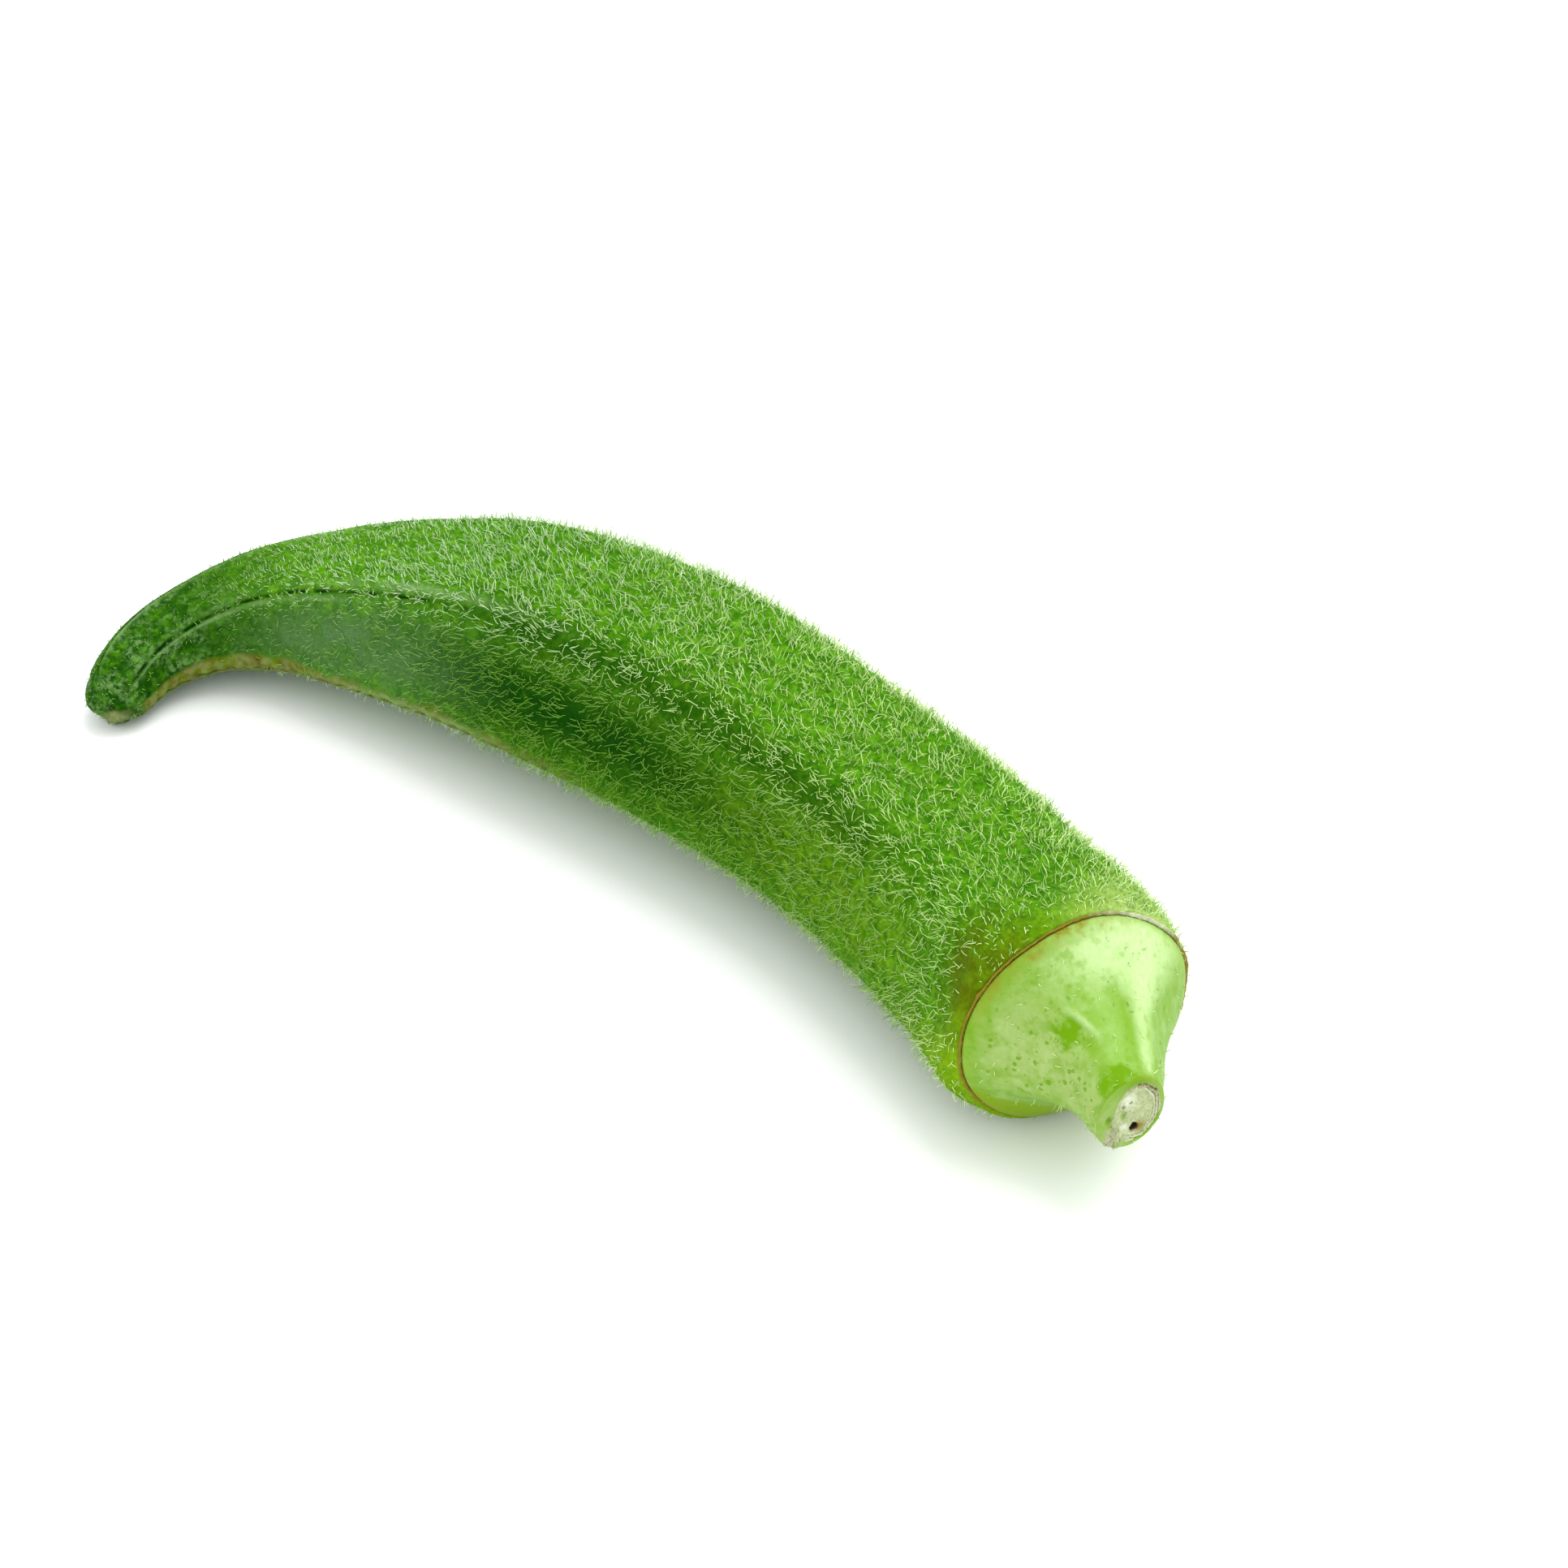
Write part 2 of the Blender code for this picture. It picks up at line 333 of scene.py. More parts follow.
def closed_loft(name, rows, first_pole, last_pole, values):
    """A piece with a closed skin through rows of points, and values stored on them."""
    count, columns = rows.shape[:2]
    points = np.concatenate([rows.reshape(-1, 3), [first_pole, last_pole]]) + SHIFT
    points[:, 2] = np.maximum(points[:, 2], 0.0)
    ring = [(i, (i + 1) % columns) for i in range(columns)]
    last = (count - 1) * columns
    starts = range(0, last, columns)
    faces = [(a + i, a + j, a + columns + j, a + columns + i) for a in starts for i, j in ring]
    for i, j in ring:
        faces += [(j, i, last + columns), (last + i, last + j, last + columns + 1)]
    mesh = bpy.data.meshes.new(name)
    mesh.from_pydata(points.tolist(), [], faces)
    for value_name, numbers in values.items():
        flat = numbers.reshape(-1, *numbers.shape[2:])
        poles = [numbers[0].mean(axis=0), numbers[-1].mean(axis=0)]
        store(mesh, value_name, np.concatenate([flat, poles]))
    bm = bmesh.new()
    bm.from_mesh(mesh)
    if bm.calc_volume(signed=True) < 0:
        bmesh.ops.reverse_faces(bm, faces=bm.faces)
    bm.to_mesh(mesh)
    bm.free()
    mesh.shade_smooth()
    return new_object(name, mesh)


def new_object(name, data):
    """A new object in the scene, in place of any earlier one of its name."""
    old = bpy.data.objects.get(name)
    if old:
        bpy.data.objects.remove(old)
    made = bpy.data.objects.new(name, data)
    bpy.context.scene.collection.objects.link(made)
    return made


def hand_over(piece, slot):
    """Hangs a finished piece on the body it rides on, and hides the solid under it."""
    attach(piece, BODY)
    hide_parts(SOLID)


def bake_nodes(piece, tree, inputs):
    """Runs a Geometry Nodes tree on a piece and keeps the result as a plain mesh."""
    modifier = piece.modifiers.new(tree.name, "NODES")
    modifier.node_group = tree
    for item in tree.interface.items_tree:
        if item.item_type == "SOCKET" and item.in_out == "INPUT" and item.name in inputs:
            modifier[item.identifier] = inputs[item.name]
    depsgraph = bpy.context.evaluated_depsgraph_get()
    made = bpy.data.meshes.new_from_object(piece.evaluated_get(depsgraph), depsgraph=depsgraph)
    piece.modifiers.remove(modifier)
    if not made.polygons:
        raise RuntimeError(f"{tree.name} made no faces for {piece.name}")
    old = piece.data
    piece.data = made
    made.name = piece.name
    if old.users == 0:
        bpy.data.meshes.remove(old)


# ---- node trees ----

SHAPE, FINISH, ARROW = "NodeSocketGeometry", "NodeSocketMaterial", "NodeSocketVector"
CENTRE = (0.5, 0.5, 0.5)


class Nodes:
    """A node tree being built; its methods add nodes and give an output."""

    def __init__(self, tree):
        self.tree = tree

    def add(self, kind, inputs=None, out=0, **settings):
        """A new node with its settings made and its inputs set or linked."""
        made = self.tree.nodes.new(kind)
        for name, value in settings.items():
            setattr(made, name, value)
        for key, value in (inputs or {}).items():
            if isinstance(value, bpy.types.NodeSocket):
                self.tree.links.new(value, made.inputs[key])
            else:
                made.inputs[key].default_value = value
        return made.outputs[out]

    def calc(self, operation, a, b=0.0, clamp=False):
        """The result of a Math node."""
        return self.add("ShaderNodeMath", {0: a, 1: b}, operation=operation, use_clamp=clamp)

    def product(self, first, *others):
        """All these numbers multiplied."""
        for other in others:
            first = self.calc("MULTIPLY", first, other)
        return first

    def off_half(self, number):
        """A number from 0 to 1, less a half."""
        return self.calc("SUBTRACT", number, 0.5)

    def per(self, size):
        """The scale of a pattern of this size."""
        return self.calc("DIVIDE", 1.0, size)

    def arrow(self, operation, a, b=None):
        """The result of a Vector Math node; for SCALE, b is the number."""
        inputs = {0: a}
        if b is not None:
            inputs["Scale" if operation == "SCALE" else 1] = b
        return self.add("ShaderNodeVectorMath", inputs, operation=operation)

    def cloud(self, scale, detail, roughness=0.5, **inputs):
        """Soft noise; the node's second output is a vector of it."""
        inputs |= {"Scale": scale, "Detail": detail, "Roughness": roughness}
        return self.add("ShaderNodeTexNoise", inputs)


class Group(Nodes):
    """A new node group, for shapes where an input is one, and for finishes where none is.

    Each input is given by its default, or by its kind where it has none.
    """

    def __init__(self, name, inputs, *outputs):
        kind, result = "ShaderNodeTree", "NodeSocketFloat"
        if SHAPE in inputs.values():
            kind, result = "GeometryNodeTree", SHAPE
            inputs = inputs | {"Material": FINISH}
        super().__init__(bpy.data.node_groups.new(name, kind))
        sockets = self.tree.interface
        for key, default in inputs.items():
            plain = {float: "NodeSocketFloat", int: "NodeSocketInt"}.get(type(default), default)
            made = sockets.new_socket(key, in_out="INPUT", socket_type=plain)
            if plain != default:
                made.default_value = default
        for key in outputs:
            sockets.new_socket(key, in_out="OUTPUT", socket_type=result)
        self.given = self.tree.nodes.new("NodeGroupInput").outputs

    def give(self, *results):
        """Joins the results to the group's outputs."""
        made = self.tree.nodes.new("NodeGroupOutput")
        for i, result in enumerate(results):
            self.tree.links.new(result, made.inputs[i])
        return self.tree

    def named(self, name, kind="FLOAT"):
        """A value stored on the points."""
        return self.add("GeometryNodeInputNamedAttribute", {"Name": name}, data_type=kind)

    def keep(self, geometry, name, value, kind="FLOAT"):
        """Stores a value on the points."""
        inputs = {0: geometry, "Name": name, "Value": value}
        return self.add("GeometryNodeStoreNamedAttribute", inputs, data_type=kind, domain="POINT")

    def above_table(self, geometry, least):
        """Raises to a least height all that would be lower."""
        parts = self.add("ShaderNodeSeparateXYZ", {0: self.add("GeometryNodeInputPosition")})
        x, y, z = parts.node.outputs
        level = self.add("ShaderNodeCombineXYZ", {0: x, 1: y, 2: self.calc("MAXIMUM", z, least)})
        return self.add("GeometryNodeSetPosition", {0: geometry, "Position": level})

    def sweep(self, line, section, scale, **inputs):
        """A smooth skin swept along a line."""
        inputs = {"Curve": line, "Profile Curve": section, "Scale": scale} | inputs
        return self.add("GeometryNodeSetShadeSmooth", {0: self.add("GeometryNodeCurveToMesh", inputs)})

    def give_faces(self, geometry):
        """Ends the tree with real faces that have their material."""
        whole = self.add("GeometryNodeRealizeInstances", {0: geometry})
        finish = {0: whole, "Material": self.given["Material"]}
        return self.give(self.add("GeometryNodeSetMaterial", finish))


def relief_tree():
    """Swells and pebbles a skin along its normals, by noise that stays clear of the table."""
    inputs = {"Skin": SHAPE, "Swell Height": 0.0001, "Swell Size": 0.004}
    inputs |= {"Pebble Height": 0.00002, "Pebble Size": 0.0008}
    made = Group("Okra Skin Relief", inputs, "Skin")

    def bumps(name, detail):
        cloud = made.cloud(made.per(made.given[name + " Size"]), detail)
        return made.product(made.off_half(cloud), 2.0, made.given[name + " Height"])

    out = made.product(made.calc("ADD", bumps("Swell", 1.0), bumps("Pebble", 2.0)), made.named("soft"))
    offset = made.arrow("SCALE", made.add("GeometryNodeInputNormal"), out)
    moved = made.add("GeometryNodeSetPosition", {0: made.given["Skin"], "Offset": offset})
    return made.give_faces(made.above_table(moved, 0.0))


def hair_tree():
    """Grows fine curved hairs out of a skin, thickest at the root, leaning towards the tip."""
    inputs = {"Skin": SHAPE, "From": 0.0, "To": 1.0, "Density": 4.0e6}
    inputs |= {"Length": 0.001, "Thickness": 0.00008, "Spread": 0.6, "Lean": 0.2, "Rise": 0.6}
    inputs |= {"Swirl": 0.6, "Clumping": 0.5, "Curl": 0.4, "Seed": 1}
    made = Group("Okra Hairs", inputs, "Hairs")
    given, arrow, product = made.given, made.arrow, made.product

    def random_vector(offset):
        ends = {0: (-1.0, -1.0, -1.0), 1: (1.0, 1.0, 1.0), "Seed": made.calc("ADD", given["Seed"], offset)}
        return made.add("FunctionNodeRandomValue", ends, data_type="FLOAT_VECTOR")

    def random_number(low, high, offset):
        ends = {2: low, 3: high, "Seed": made.calc("ADD", given["Seed"], offset)}
        return made.add("FunctionNodeRandomValue", ends, out=1)

    place = made.named("place")
    above = made.calc("GREATER_THAN", place, given["From"])
    here = product(above, made.calc("LESS_THAN", place, given["To"]))
    tufts = product(made.off_half(made.cloud(TUFT_SCALE, 1.0)), 6.0, given["Clumping"])
    tufts = made.calc("MAXIMUM", made.calc("ADD", tufts, 1.0), 0.0)
    density = product(made.named("fuzz"), here, given["Density"], tufts)
    growing = {"Mesh": given["Skin"], "Density": density, "Seed": given["Seed"]}
    roots = made.add("GeometryNodeDistributePointsOnFaces", growing, distribute_method="RANDOM")
    normal = roots.node.outputs["Normal"]
    length = product(given["Length"], made.named("hair_length"), random_number(0.4, 1.3, 1.0))
    stray = arrow("SCALE", random_vector(2.0), product(given["Spread"], made.named("tousled")))
    lean = arrow("SCALE", made.named("tipward", "FLOAT_VECTOR"), given["Lean"])
    swirl = arrow("SUBTRACT", made.cloud(SWIRL_SCALE, 0.0).node.outputs[1], CENTRE)
    swirl = arrow("SCALE", swirl, product(given["Swirl"], 5.0))
    lying = arrow("ADD", arrow("ADD", swirl, stray), lean)
    lying = arrow("SUBTRACT", lying, arrow("PROJECT", lying, normal))
    lift = arrow("SCALE", normal, product(given["Rise"], random_number(0.35, 1.0, 5.0)))
    way = arrow("NORMALIZE", arrow("ADD", lying, lift))
    side = arrow("NORMALIZE", arrow("CROSS_PRODUCT", way, random_vector(3.0)))
    bend = product(length, product(given["Curl"], random_number(0.15, 1.0, 6.0)))
    kept = made.keep(roots, "curl", arrow("SCALE", side, bend), "FLOAT_VECTOR")
    kept = made.keep(kept, "shade", random_number(0.0, 1.0, 4.0))
    line = made.add("GeometryNodeCurvePrimitiveLine", {"End": (0.0, 0.0, 1.0)})
    hair = made.add("GeometryNodeResampleCurve", {"Curve": line, "Count": 4})
    turned = made.add("FunctionNodeAlignRotationToVector", {"Vector": way}, axis="Z")
    planting = {"Points": kept, "Instance": hair, "Rotation": turned, "Scale": length}
    placed = made.add("GeometryNodeInstanceOnPoints", planting)
    grown = made.add("GeometryNodeRealizeInstances", {0: placed})
    up_hair = made.add("GeometryNodeSplineParameter")
    bend = arrow("SCALE", made.named("curl", "FLOAT_VECTOR"), made.calc("POWER", up_hair, 2.0))
    bent = made.add("GeometryNodeSetPosition", {0: grown, "Offset": bend})
    marked = made.keep(made.above_table(bent, HAIR_CLEARANCE), "up_hair", up_hair)
    taper = made.calc("SUBTRACT", 1.0, product(up_hair, 0.62))
    section = made.add("GeometryNodeCurvePrimitiveCircle", {"Resolution": 3, "Radius": 1.0})
    radius = product(given["Thickness"], 0.5, taper)
    return made.give_faces(made.sweep(marked, section, radius, **{"Fill Caps": True}))


def scar_tree():
    """Sweeps a thin papery edge along a path, thicker and thinner by noise."""
    inputs = {"Path": SHAPE, "Width": 0.0003, "Unevenness": 0.5, "Ragged Size": 0.0012}
    made = Group("Okra Scar Edge", inputs, "Edge")
    path = made.add("GeometryNodeMeshToCurve", {0: made.given["Path"]})
    ragged = made.cloud(made.per(made.given["Ragged Size"]), 2.0)
    uneven = made.product(made.off_half(ragged), 2.0, made.given["Unevenness"])
    radius = made.product(made.given["Width"], made.calc("ADD", uneven, 1.0), made.named("fullness"))
    stray = made.arrow("SCALE", made.arrow("SUBTRACT", ragged.node.outputs[1], CENTRE), 0.00022)
    moved = made.add("GeometryNodeSetPosition", {0: path, "Offset": stray})
    outward = {"Curve": moved, "Normal": made.named("outward", "FLOAT_VECTOR")}
    turned = made.add("GeometryNodeSetCurveNormal", outward, mode="FREE")
    circle = made.add("GeometryNodeCurvePrimitiveCircle", {"Resolution": 8, "Radius": 0.5})
    flat = made.add("GeometryNodeTransform", {"Geometry": circle, "Scale": (1.0, 0.42, 1.0)})
    return made.give_faces(made.sweep(turned, flat, radius))


def mottle_group():
    """Soft patches, as a mask from 0 to 1."""
    made = Group("Okra Mottle", {"Vector": ARROW, "Patch Size": 0.003, "Contrast": 1.5}, "Mask")
    cloud = made.cloud(made.per(made.given["Patch Size"]), 3.0, 0.6, Vector=made.given["Vector"])
    sharper = made.product(made.off_half(cloud), made.given["Contrast"])
    return made.give(made.calc("ADD", sharper, 0.5, clamp=True))


def fleck_group():
    """Scattered round flecks of uneven size, as a mask."""
    inputs = {"Vector": ARROW, "Spacing": 0.001, "Fleck Share": 0.2, "How Many": 0.4}
    made = Group("Okra Flecks", inputs, "Mask")
    given = made.given
    wobble = made.cloud(3000.0, 2.0, Vector=given["Vector"]).node.outputs[1]
    shift = made.arrow("SCALE", made.arrow("SUBTRACT", wobble, CENTRE), 0.0003)
    cells = {"Vector": made.arrow("ADD", given["Vector"], shift), "Scale": made.per(given["Spacing"])}
    distance, colour = made.add("ShaderNodeTexVoronoi", cells).node.outputs[:2]
    chance = made.add("ShaderNodeSeparateColor", {0: colour}).node.outputs
    size = made.product(given["Fleck Share"], made.calc("ADD", chance[1], 0.4))
    soft = made.calc("MULTIPLY", made.calc("SUBTRACT", size, distance), 14.0, clamp=True)
    return made.give(made.product(soft, made.calc("LESS_THAN", chance[0], given["How Many"])))


def grain_group():
    """The skin's finest relief: a height in metres for a Bump node, and a roughness."""
    inputs = {"Vector": ARROW, "Grain Size": 0.0003, "Grain Height": 0.00002}
    inputs |= {"Roughness": 0.5, "Roughness Spread": 0.15}
    made = Group("Okra Fine Grain", inputs, "Height", "Roughness")
    cloud = made.cloud(made.per(made.given["Grain Size"]), 2.0, 0.55, Vector=made.given["Vector"])
    uneven = made.product(made.off_half(cloud), made.given["Roughness Spread"], 2.0)
    height = made.product(cloud, made.given["Grain Height"])
    return made.give(height, made.calc("ADD", made.given["Roughness"], uneven))


def group_tree(name):
    """The shared node group of this name, made once."""
    makers = {
        "Okra Mottle": mottle_group,
        "Okra Flecks": fleck_group,
        "Okra Fine Grain": grain_group,
        "Okra Skin Relief": relief_tree,
        "Okra Hairs": hair_tree,
        "Okra Scar Edge": scar_tree,
    }
    return bpy.data.node_groups.get(name) or makers[name]()


class Finish(Nodes):
    """A material being built: layers of colour that masks lay over each other."""

    def __init__(self, name, values):
        old = bpy.data.materials.get(name)
        if old:
            bpy.data.materials.remove(old)
        self.material = bpy.data.materials.new(name)
        self.material.use_nodes = True
        super().__init__(self.material.node_tree)
        self.values = values
        self.place = self.add("ShaderNodeTexCoord", out="Object")
        self.colour = None

    def value(self, name, out="Fac"):
        """A value stored on the piece's points."""
        return self.add("ShaderNodeAttribute", out=out, attribute_name=name)

    def group(self, name, **inputs):
        """A shared group's outputs; its inputs are given with _ for a space."""
        inputs = {"Vector": self.place} | {key.replace("_", " "): inputs[key] for key in inputs}
        return self.add("ShaderNodeGroup", inputs, node_tree=group_tree(name)).node.outputs

    def mottle(self, size, contrast, vector=None):
        """Soft patches of this size, as a mask."""
        place = vector or self.place
        return self.group("Okra Mottle", Vector=place, Patch_Size=size, Contrast=contrast)[0]

    def flecks(self, spacing, share, count):
        """Scattered flecks, as a mask."""
        return self.group("Okra Flecks", Spacing=spacing, Fleck_Share=share, How_Many=count)[0]

    def streaks(self, size, contrast, along_pod):
        """Patches drawn out along the pod, as a mask."""
        straight = {0: self.value("straight", "Vector"), 3: (1.0, 1.0, along_pod)}
        return self.mottle(size, contrast, self.add("ShaderNodeMapping", straight))

    def plus(self, a, b):
        """One mask and another, together at most 1."""
        return self.calc("ADD", a, b, clamp=True)

    def broken(self, name, patches):
        """A stored mask made stronger, with its soft edge broken up by patches."""
        gaps = self.product(self.calc("SUBTRACT", patches, 1.0), 0.9)
        return self.plus(self.product(self.value(name), 1.8), gaps)

    def lay(self, colour, *masks, blend="MIX"):
        """Lays a colour over what is there, as far as the masks, multiplied, say."""
        colour = getattr(self.values, colour) if isinstance(colour, str) else colour
        colour = (*colour, 1.0)
        if self.colour is None:
            self.colour = self.add("ShaderNodeRGB")
            self.colour.default_value = colour
            return
        first, *others = [self.value(mask) if isinstance(mask, str) else mask for mask in masks]
        for other in others:
            first = self.calc("MULTIPLY", first, other, clamp=True)
        mixing = {"data_type": "RGBA", "blend_type": blend, "clamp_factor": True}
        self.colour = self.add("ShaderNodeMix", {0: first, 6: self.colour, 7: colour}, 2, **mixing)

    def finish(self, grain_size, grain_height, roughness, spread, specular):
        """Adds the fine grain and joins all to the shader."""
        sizes = {"Grain_Size": grain_size, "Grain_Height": grain_height}
        sizes |= {"Roughness": roughness, "Roughness_Spread": spread}
        height, rough = self.group("Okra Fine Grain", **sizes)
        bump = self.add("ShaderNodeBump", {"Height": height, "Distance": 1.0, "Strength": 1.0})
        surface = self.tree.nodes["Principled BSDF"].inputs
        for name, result in (("Base Color", self.colour), ("Roughness", rough), ("Normal", bump)):
            self.tree.links.new(result, surface[name])
        surface["Specular IOR Level"].default_value = specular
        return self.material


# ---- what a user may change ----


def tint(name, description, *default):
    """A colour property."""
    looks = {"subtype": "COLOR", "min": 0.0, "max": 1.0, "default": default}
    return FloatVectorProperty(name=name, description=description, **looks)


def size(name, description, default):
    """A length property, in metres."""
    looks = {"unit": "LENGTH", "min": 0.0, "precision": 6, "default": default}
    return FloatProperty(name=name, description=description, **looks)


def share(name, description, default, high=1.0):
    """A plain number property."""
    return FloatProperty(name=name, description=description, min=0.0, max=high, default=default)


class OkraPodSkin(bpy.types.PropertyGroup):
    """The green pod's relief and colours."""

    swell: size("Swell", "How far the skin swells and sinks", 0.00014)
    pebble: size("Pebbling", "Height of the skin's small bumps", 0.00003)
    seam_depth: size("Seam Depth", "Depth of the groove beside each crest", 0.00026)
    lip_height: size("Lip Height", "Height of the lips along the grooves", 0.00012)
    bead_height: size("Bead Height", "Height of the lowest rib's bumps", 0.00018)
    hollow_depth: size("Collar Hollow", "Depth of the dent behind the scar", 0.00045)
    cheek: size("Collar Cheek", "How far the collar's lower side swells", 0.0005)
    # Light Green is the skin's common colour; the lower facet is darkened over it by painted shade.
    light_green: tint("Light Green", "Facets that grew in the light", 0.042, 0.2, 0.002)
    fresh_green: tint("Fresh Green", "Brighter patches", 0.08, 0.27, 0.004)
    lit_green: tint("Lit Green", "The brightest flecks", 0.165, 0.4, 0.012)
    dark_green: tint("Dark Green", "The shaded facet", 0.005, 0.05, 0.001)
    # The hook's lower side: partly a waxy coating, partly painted sheen.
    bloom_green: tint("Bloom", "The hook's dull waxy side", 0.082, 0.175, 0.058)
    tip_green: tint("Tip Green", "The hooked tip", 0.008, 0.064, 0.001)
    collar_green: tint("Collar Green", "Behind the scar", 0.19, 0.34, 0.004)
    collar_pale: tint("Collar Pale", "The collar's upper side", 0.36, 0.5, 0.15)
    knob: tint("Knob", "Pale bumps on the lowest rib", 0.3, 0.34, 0.15)
    rib_yellow: tint("Rib Yellow", "The lowest rib", 0.115, 0.17, 0.004)
    brown: tint("Brown", "Rubbed spots on the lowest rib", 0.105, 0.065, 0.006)
    bruise: tint("Bruise", "The collar's hollow", 0.085, 0.12, 0.001)
    pale: tint("Pale Lips", "The seams' lips", 0.2, 0.34, 0.12)
    groove_green: tint("Groove", "The seams' dark dashes", 0.004, 0.04, 0.001)
    tip_scar: tint("Tip Scar", "The dry end where the flower sat", 0.27, 0.26, 0.12)


class OkraCapSkin(bpy.types.PropertyGroup):
    """The cap's relief and colours."""

    swell: size("Swell", "How far the cap swells and sinks", 0.00007)
    pebble: size("Pebbling", "Height of the cap's small bumps", 0.000012)
    fold_height: size("Fold Height", "Height of the short fold", 0.00026)
    soft_crest: size("Soft Crest", "How far one rib is rounded down", 0.00034)
    mid_green: tint("Mid Green", "The common green", 0.168, 0.33, 0.022)
    light_green: tint("Light Green", "Beside the bright rib", 0.24, 0.44, 0.075)
    pale_green: tint("Pale Green", "The whitish face", 0.32, 0.43, 0.13)
    # Bright Green is the painted highlight on the lit rib, the upper side and the fold, and also pale
    # streaks.
    bright_green: tint("Bright Green", "The rib in the light", 0.49, 0.67, 0.3)
    deep_green: tint("Deep Green", "Hollows and flecks", 0.12, 0.28, 0.001)
    rim_green: tint("Rim Green", "The edge beside the scar", 0.22, 0.37, 0.03)
    foot_green: tint("Foot Green", "The yellow-green underside", 0.185, 0.305, 0.001)
    stain: tint("Stain", "The brown stain along the scar", 0.19, 0.185, 0.006)


class OkraStem(bpy.types.PropertyGroup):
    """The cut stem and the papery scar."""

    fibre_height: size("Fibre Height", "How far the cut's fibres stand up", 0.00012)
    scar_width: size("Scar Width", "Width of the papery edge", 0.00034)
    cream: tint("Cream", "The fresh cut and the papery edge", 0.47, 0.52, 0.3)
    white: tint("White", "The palest fibres", 0.72, 0.76, 0.6)
    sap: tint("Sap Green", "Greener spots", 0.3, 0.38, 0.15)
    grey: tint("Grey", "Torn fibres", 0.41, 0.41, 0.26)
    tan: tint("Tan", "Dried fibres", 0.27, 0.22, 0.07)
    skin_green: tint("Skin Green", "Skin over the cut's edge", 0.2, 0.35, 0.042)
    deep_green: tint("Deep Green", "Fresher and bruised spots", 0.135, 0.29, 0.002)
    scar: tint("Scar", "The scar's brown line", 0.235, 0.165, 0.008)
    umber: tint("Umber", "The pith hole and cracks", 0.02, 0.011, 0.004)


class OkraHairs(bpy.types.PropertyGroup):
    """The hairs on the skin."""

    density: share("Density", "Hairs on each square millimetre", 6.2, 12.0)
    length: size("Length", "Length of a full-grown hair", 0.00082)
    thickness: size("Thickness", "Thickness of a hair at its root", 0.000092)
    spread: share("Spread", "How far hairs stray from their neighbours", 0.58, 2.0)
    lean: share("Lean", "How far the hairs lean towards the tip", 0.35, 2.0)
    rise: share("Rise", "How far the hairs stand off the skin", 1.0, 2.0)
    swirl: share("Swirl", "How far patches of hairs turn together", 0.15, 2.0)
    clumping: share("Clumping", "How unevenly the hairs grow", 0.35)
    curl: share("Curl", "How far an end bends, as a share of the length", 0.75)
    seed: IntProperty(name="Seed", description="Changes where the hairs grow", default=7)
    colour: tint("Colour", "The common whitish green", 0.78, 0.945, 0.45)
    frosty: tint("Frosty", "Whiter hairs towards the tip", 0.8, 0.935, 0.7)
    dim: tint("Dim", "The clearest, greenest hairs", 0.16, 0.4, 0.02)
    root: tint("Root", "The hairs' clearer roots", 0.28, 0.51, 0.08)
    # Shaded is painted shade on the hairs of the lower facet.
    shaded: tint("Shaded", "Hairs of the shaded facet", 0.135, 0.33, 0.016)


class OkraStage(bpy.types.PropertyGroup):
    """The table, the light and the camera."""

    floor: tint("Floor", "The pale table top", 0.93, 0.94, 0.94)
    daylight: share("Daylight", "Strength of the even light all round", 1.35, 5.0)
    lamp_power: FloatProperty(name="Lamp Power", description="Of the soft lamp", unit="POWER", default=9.0)
    lamp_size: size("Lamp Size", "Side of the soft lamp's square", 0.9)


# ---- the pieces ----

# Rows at a skin's ends: the place on the pod and what is added to the radius, in millimetres.
POD_RIM = (
    (0.6, -1.8), (0.1, -0.7), (0.0, -0.2), (0.02, 0.1), (0.12, 0.2), (0.28, 0.22), (0.46, 0.17),
    (0.66, 0.09), (0.88, 0.03),
)
CAP_RIM = (
    (0.9, -2.4), (0.5, -1.2), (0.15, -0.6), (-0.03, -0.26), (-0.1, -0.1), (-0.22, -0.03),
    (-0.36, -0.01),
)
STEM_EDGE = ((-12.06, -0.06), (-12.1, -0.16), (-12.1, -0.26), (-11.9, -0.34), (-11.3, -0.6))
# How strongly painted shade darkens the lower facet and its hairs along the pod: place in metres, then
# strength.
SHADE_DEPTH = (
    (0.008, 0.0), (0.02, 0.25), (0.032, 0.6), (0.044, 0.95), (0.058, 1.0), (0.068, 0.9),
    (0.078, 0.5), (0.092, 0.6), (0.109, 0.9),
)


def row_places(start, end, step, domed=False):
    """Evenly spaced rows of a skin with nothing added, and over the tip's dome if it has one."""
    rows = [(s, 0.0) for s in np.linspace(start, end, int(abs(end - start) / step))]
    turns = np.linspace(0.0, math.pi / 2, 17)[1:-1] if domed else ()
    return rows + [(end + TIP_DOME * math.sin(turn), 0.0) for turn in turns]


def skin_rows(rows, rule, relief, values):
    """The angles, places and radii of a skin's points, and the points."""
    rows = np.concatenate(rows)
    angle, s = grid(rows[:, 0])
    radius = rule(angle, s) + rows[:, 1:2] + relief(values, angle, s)
    return angle, s, radius, skin_points(angle, s, radius)


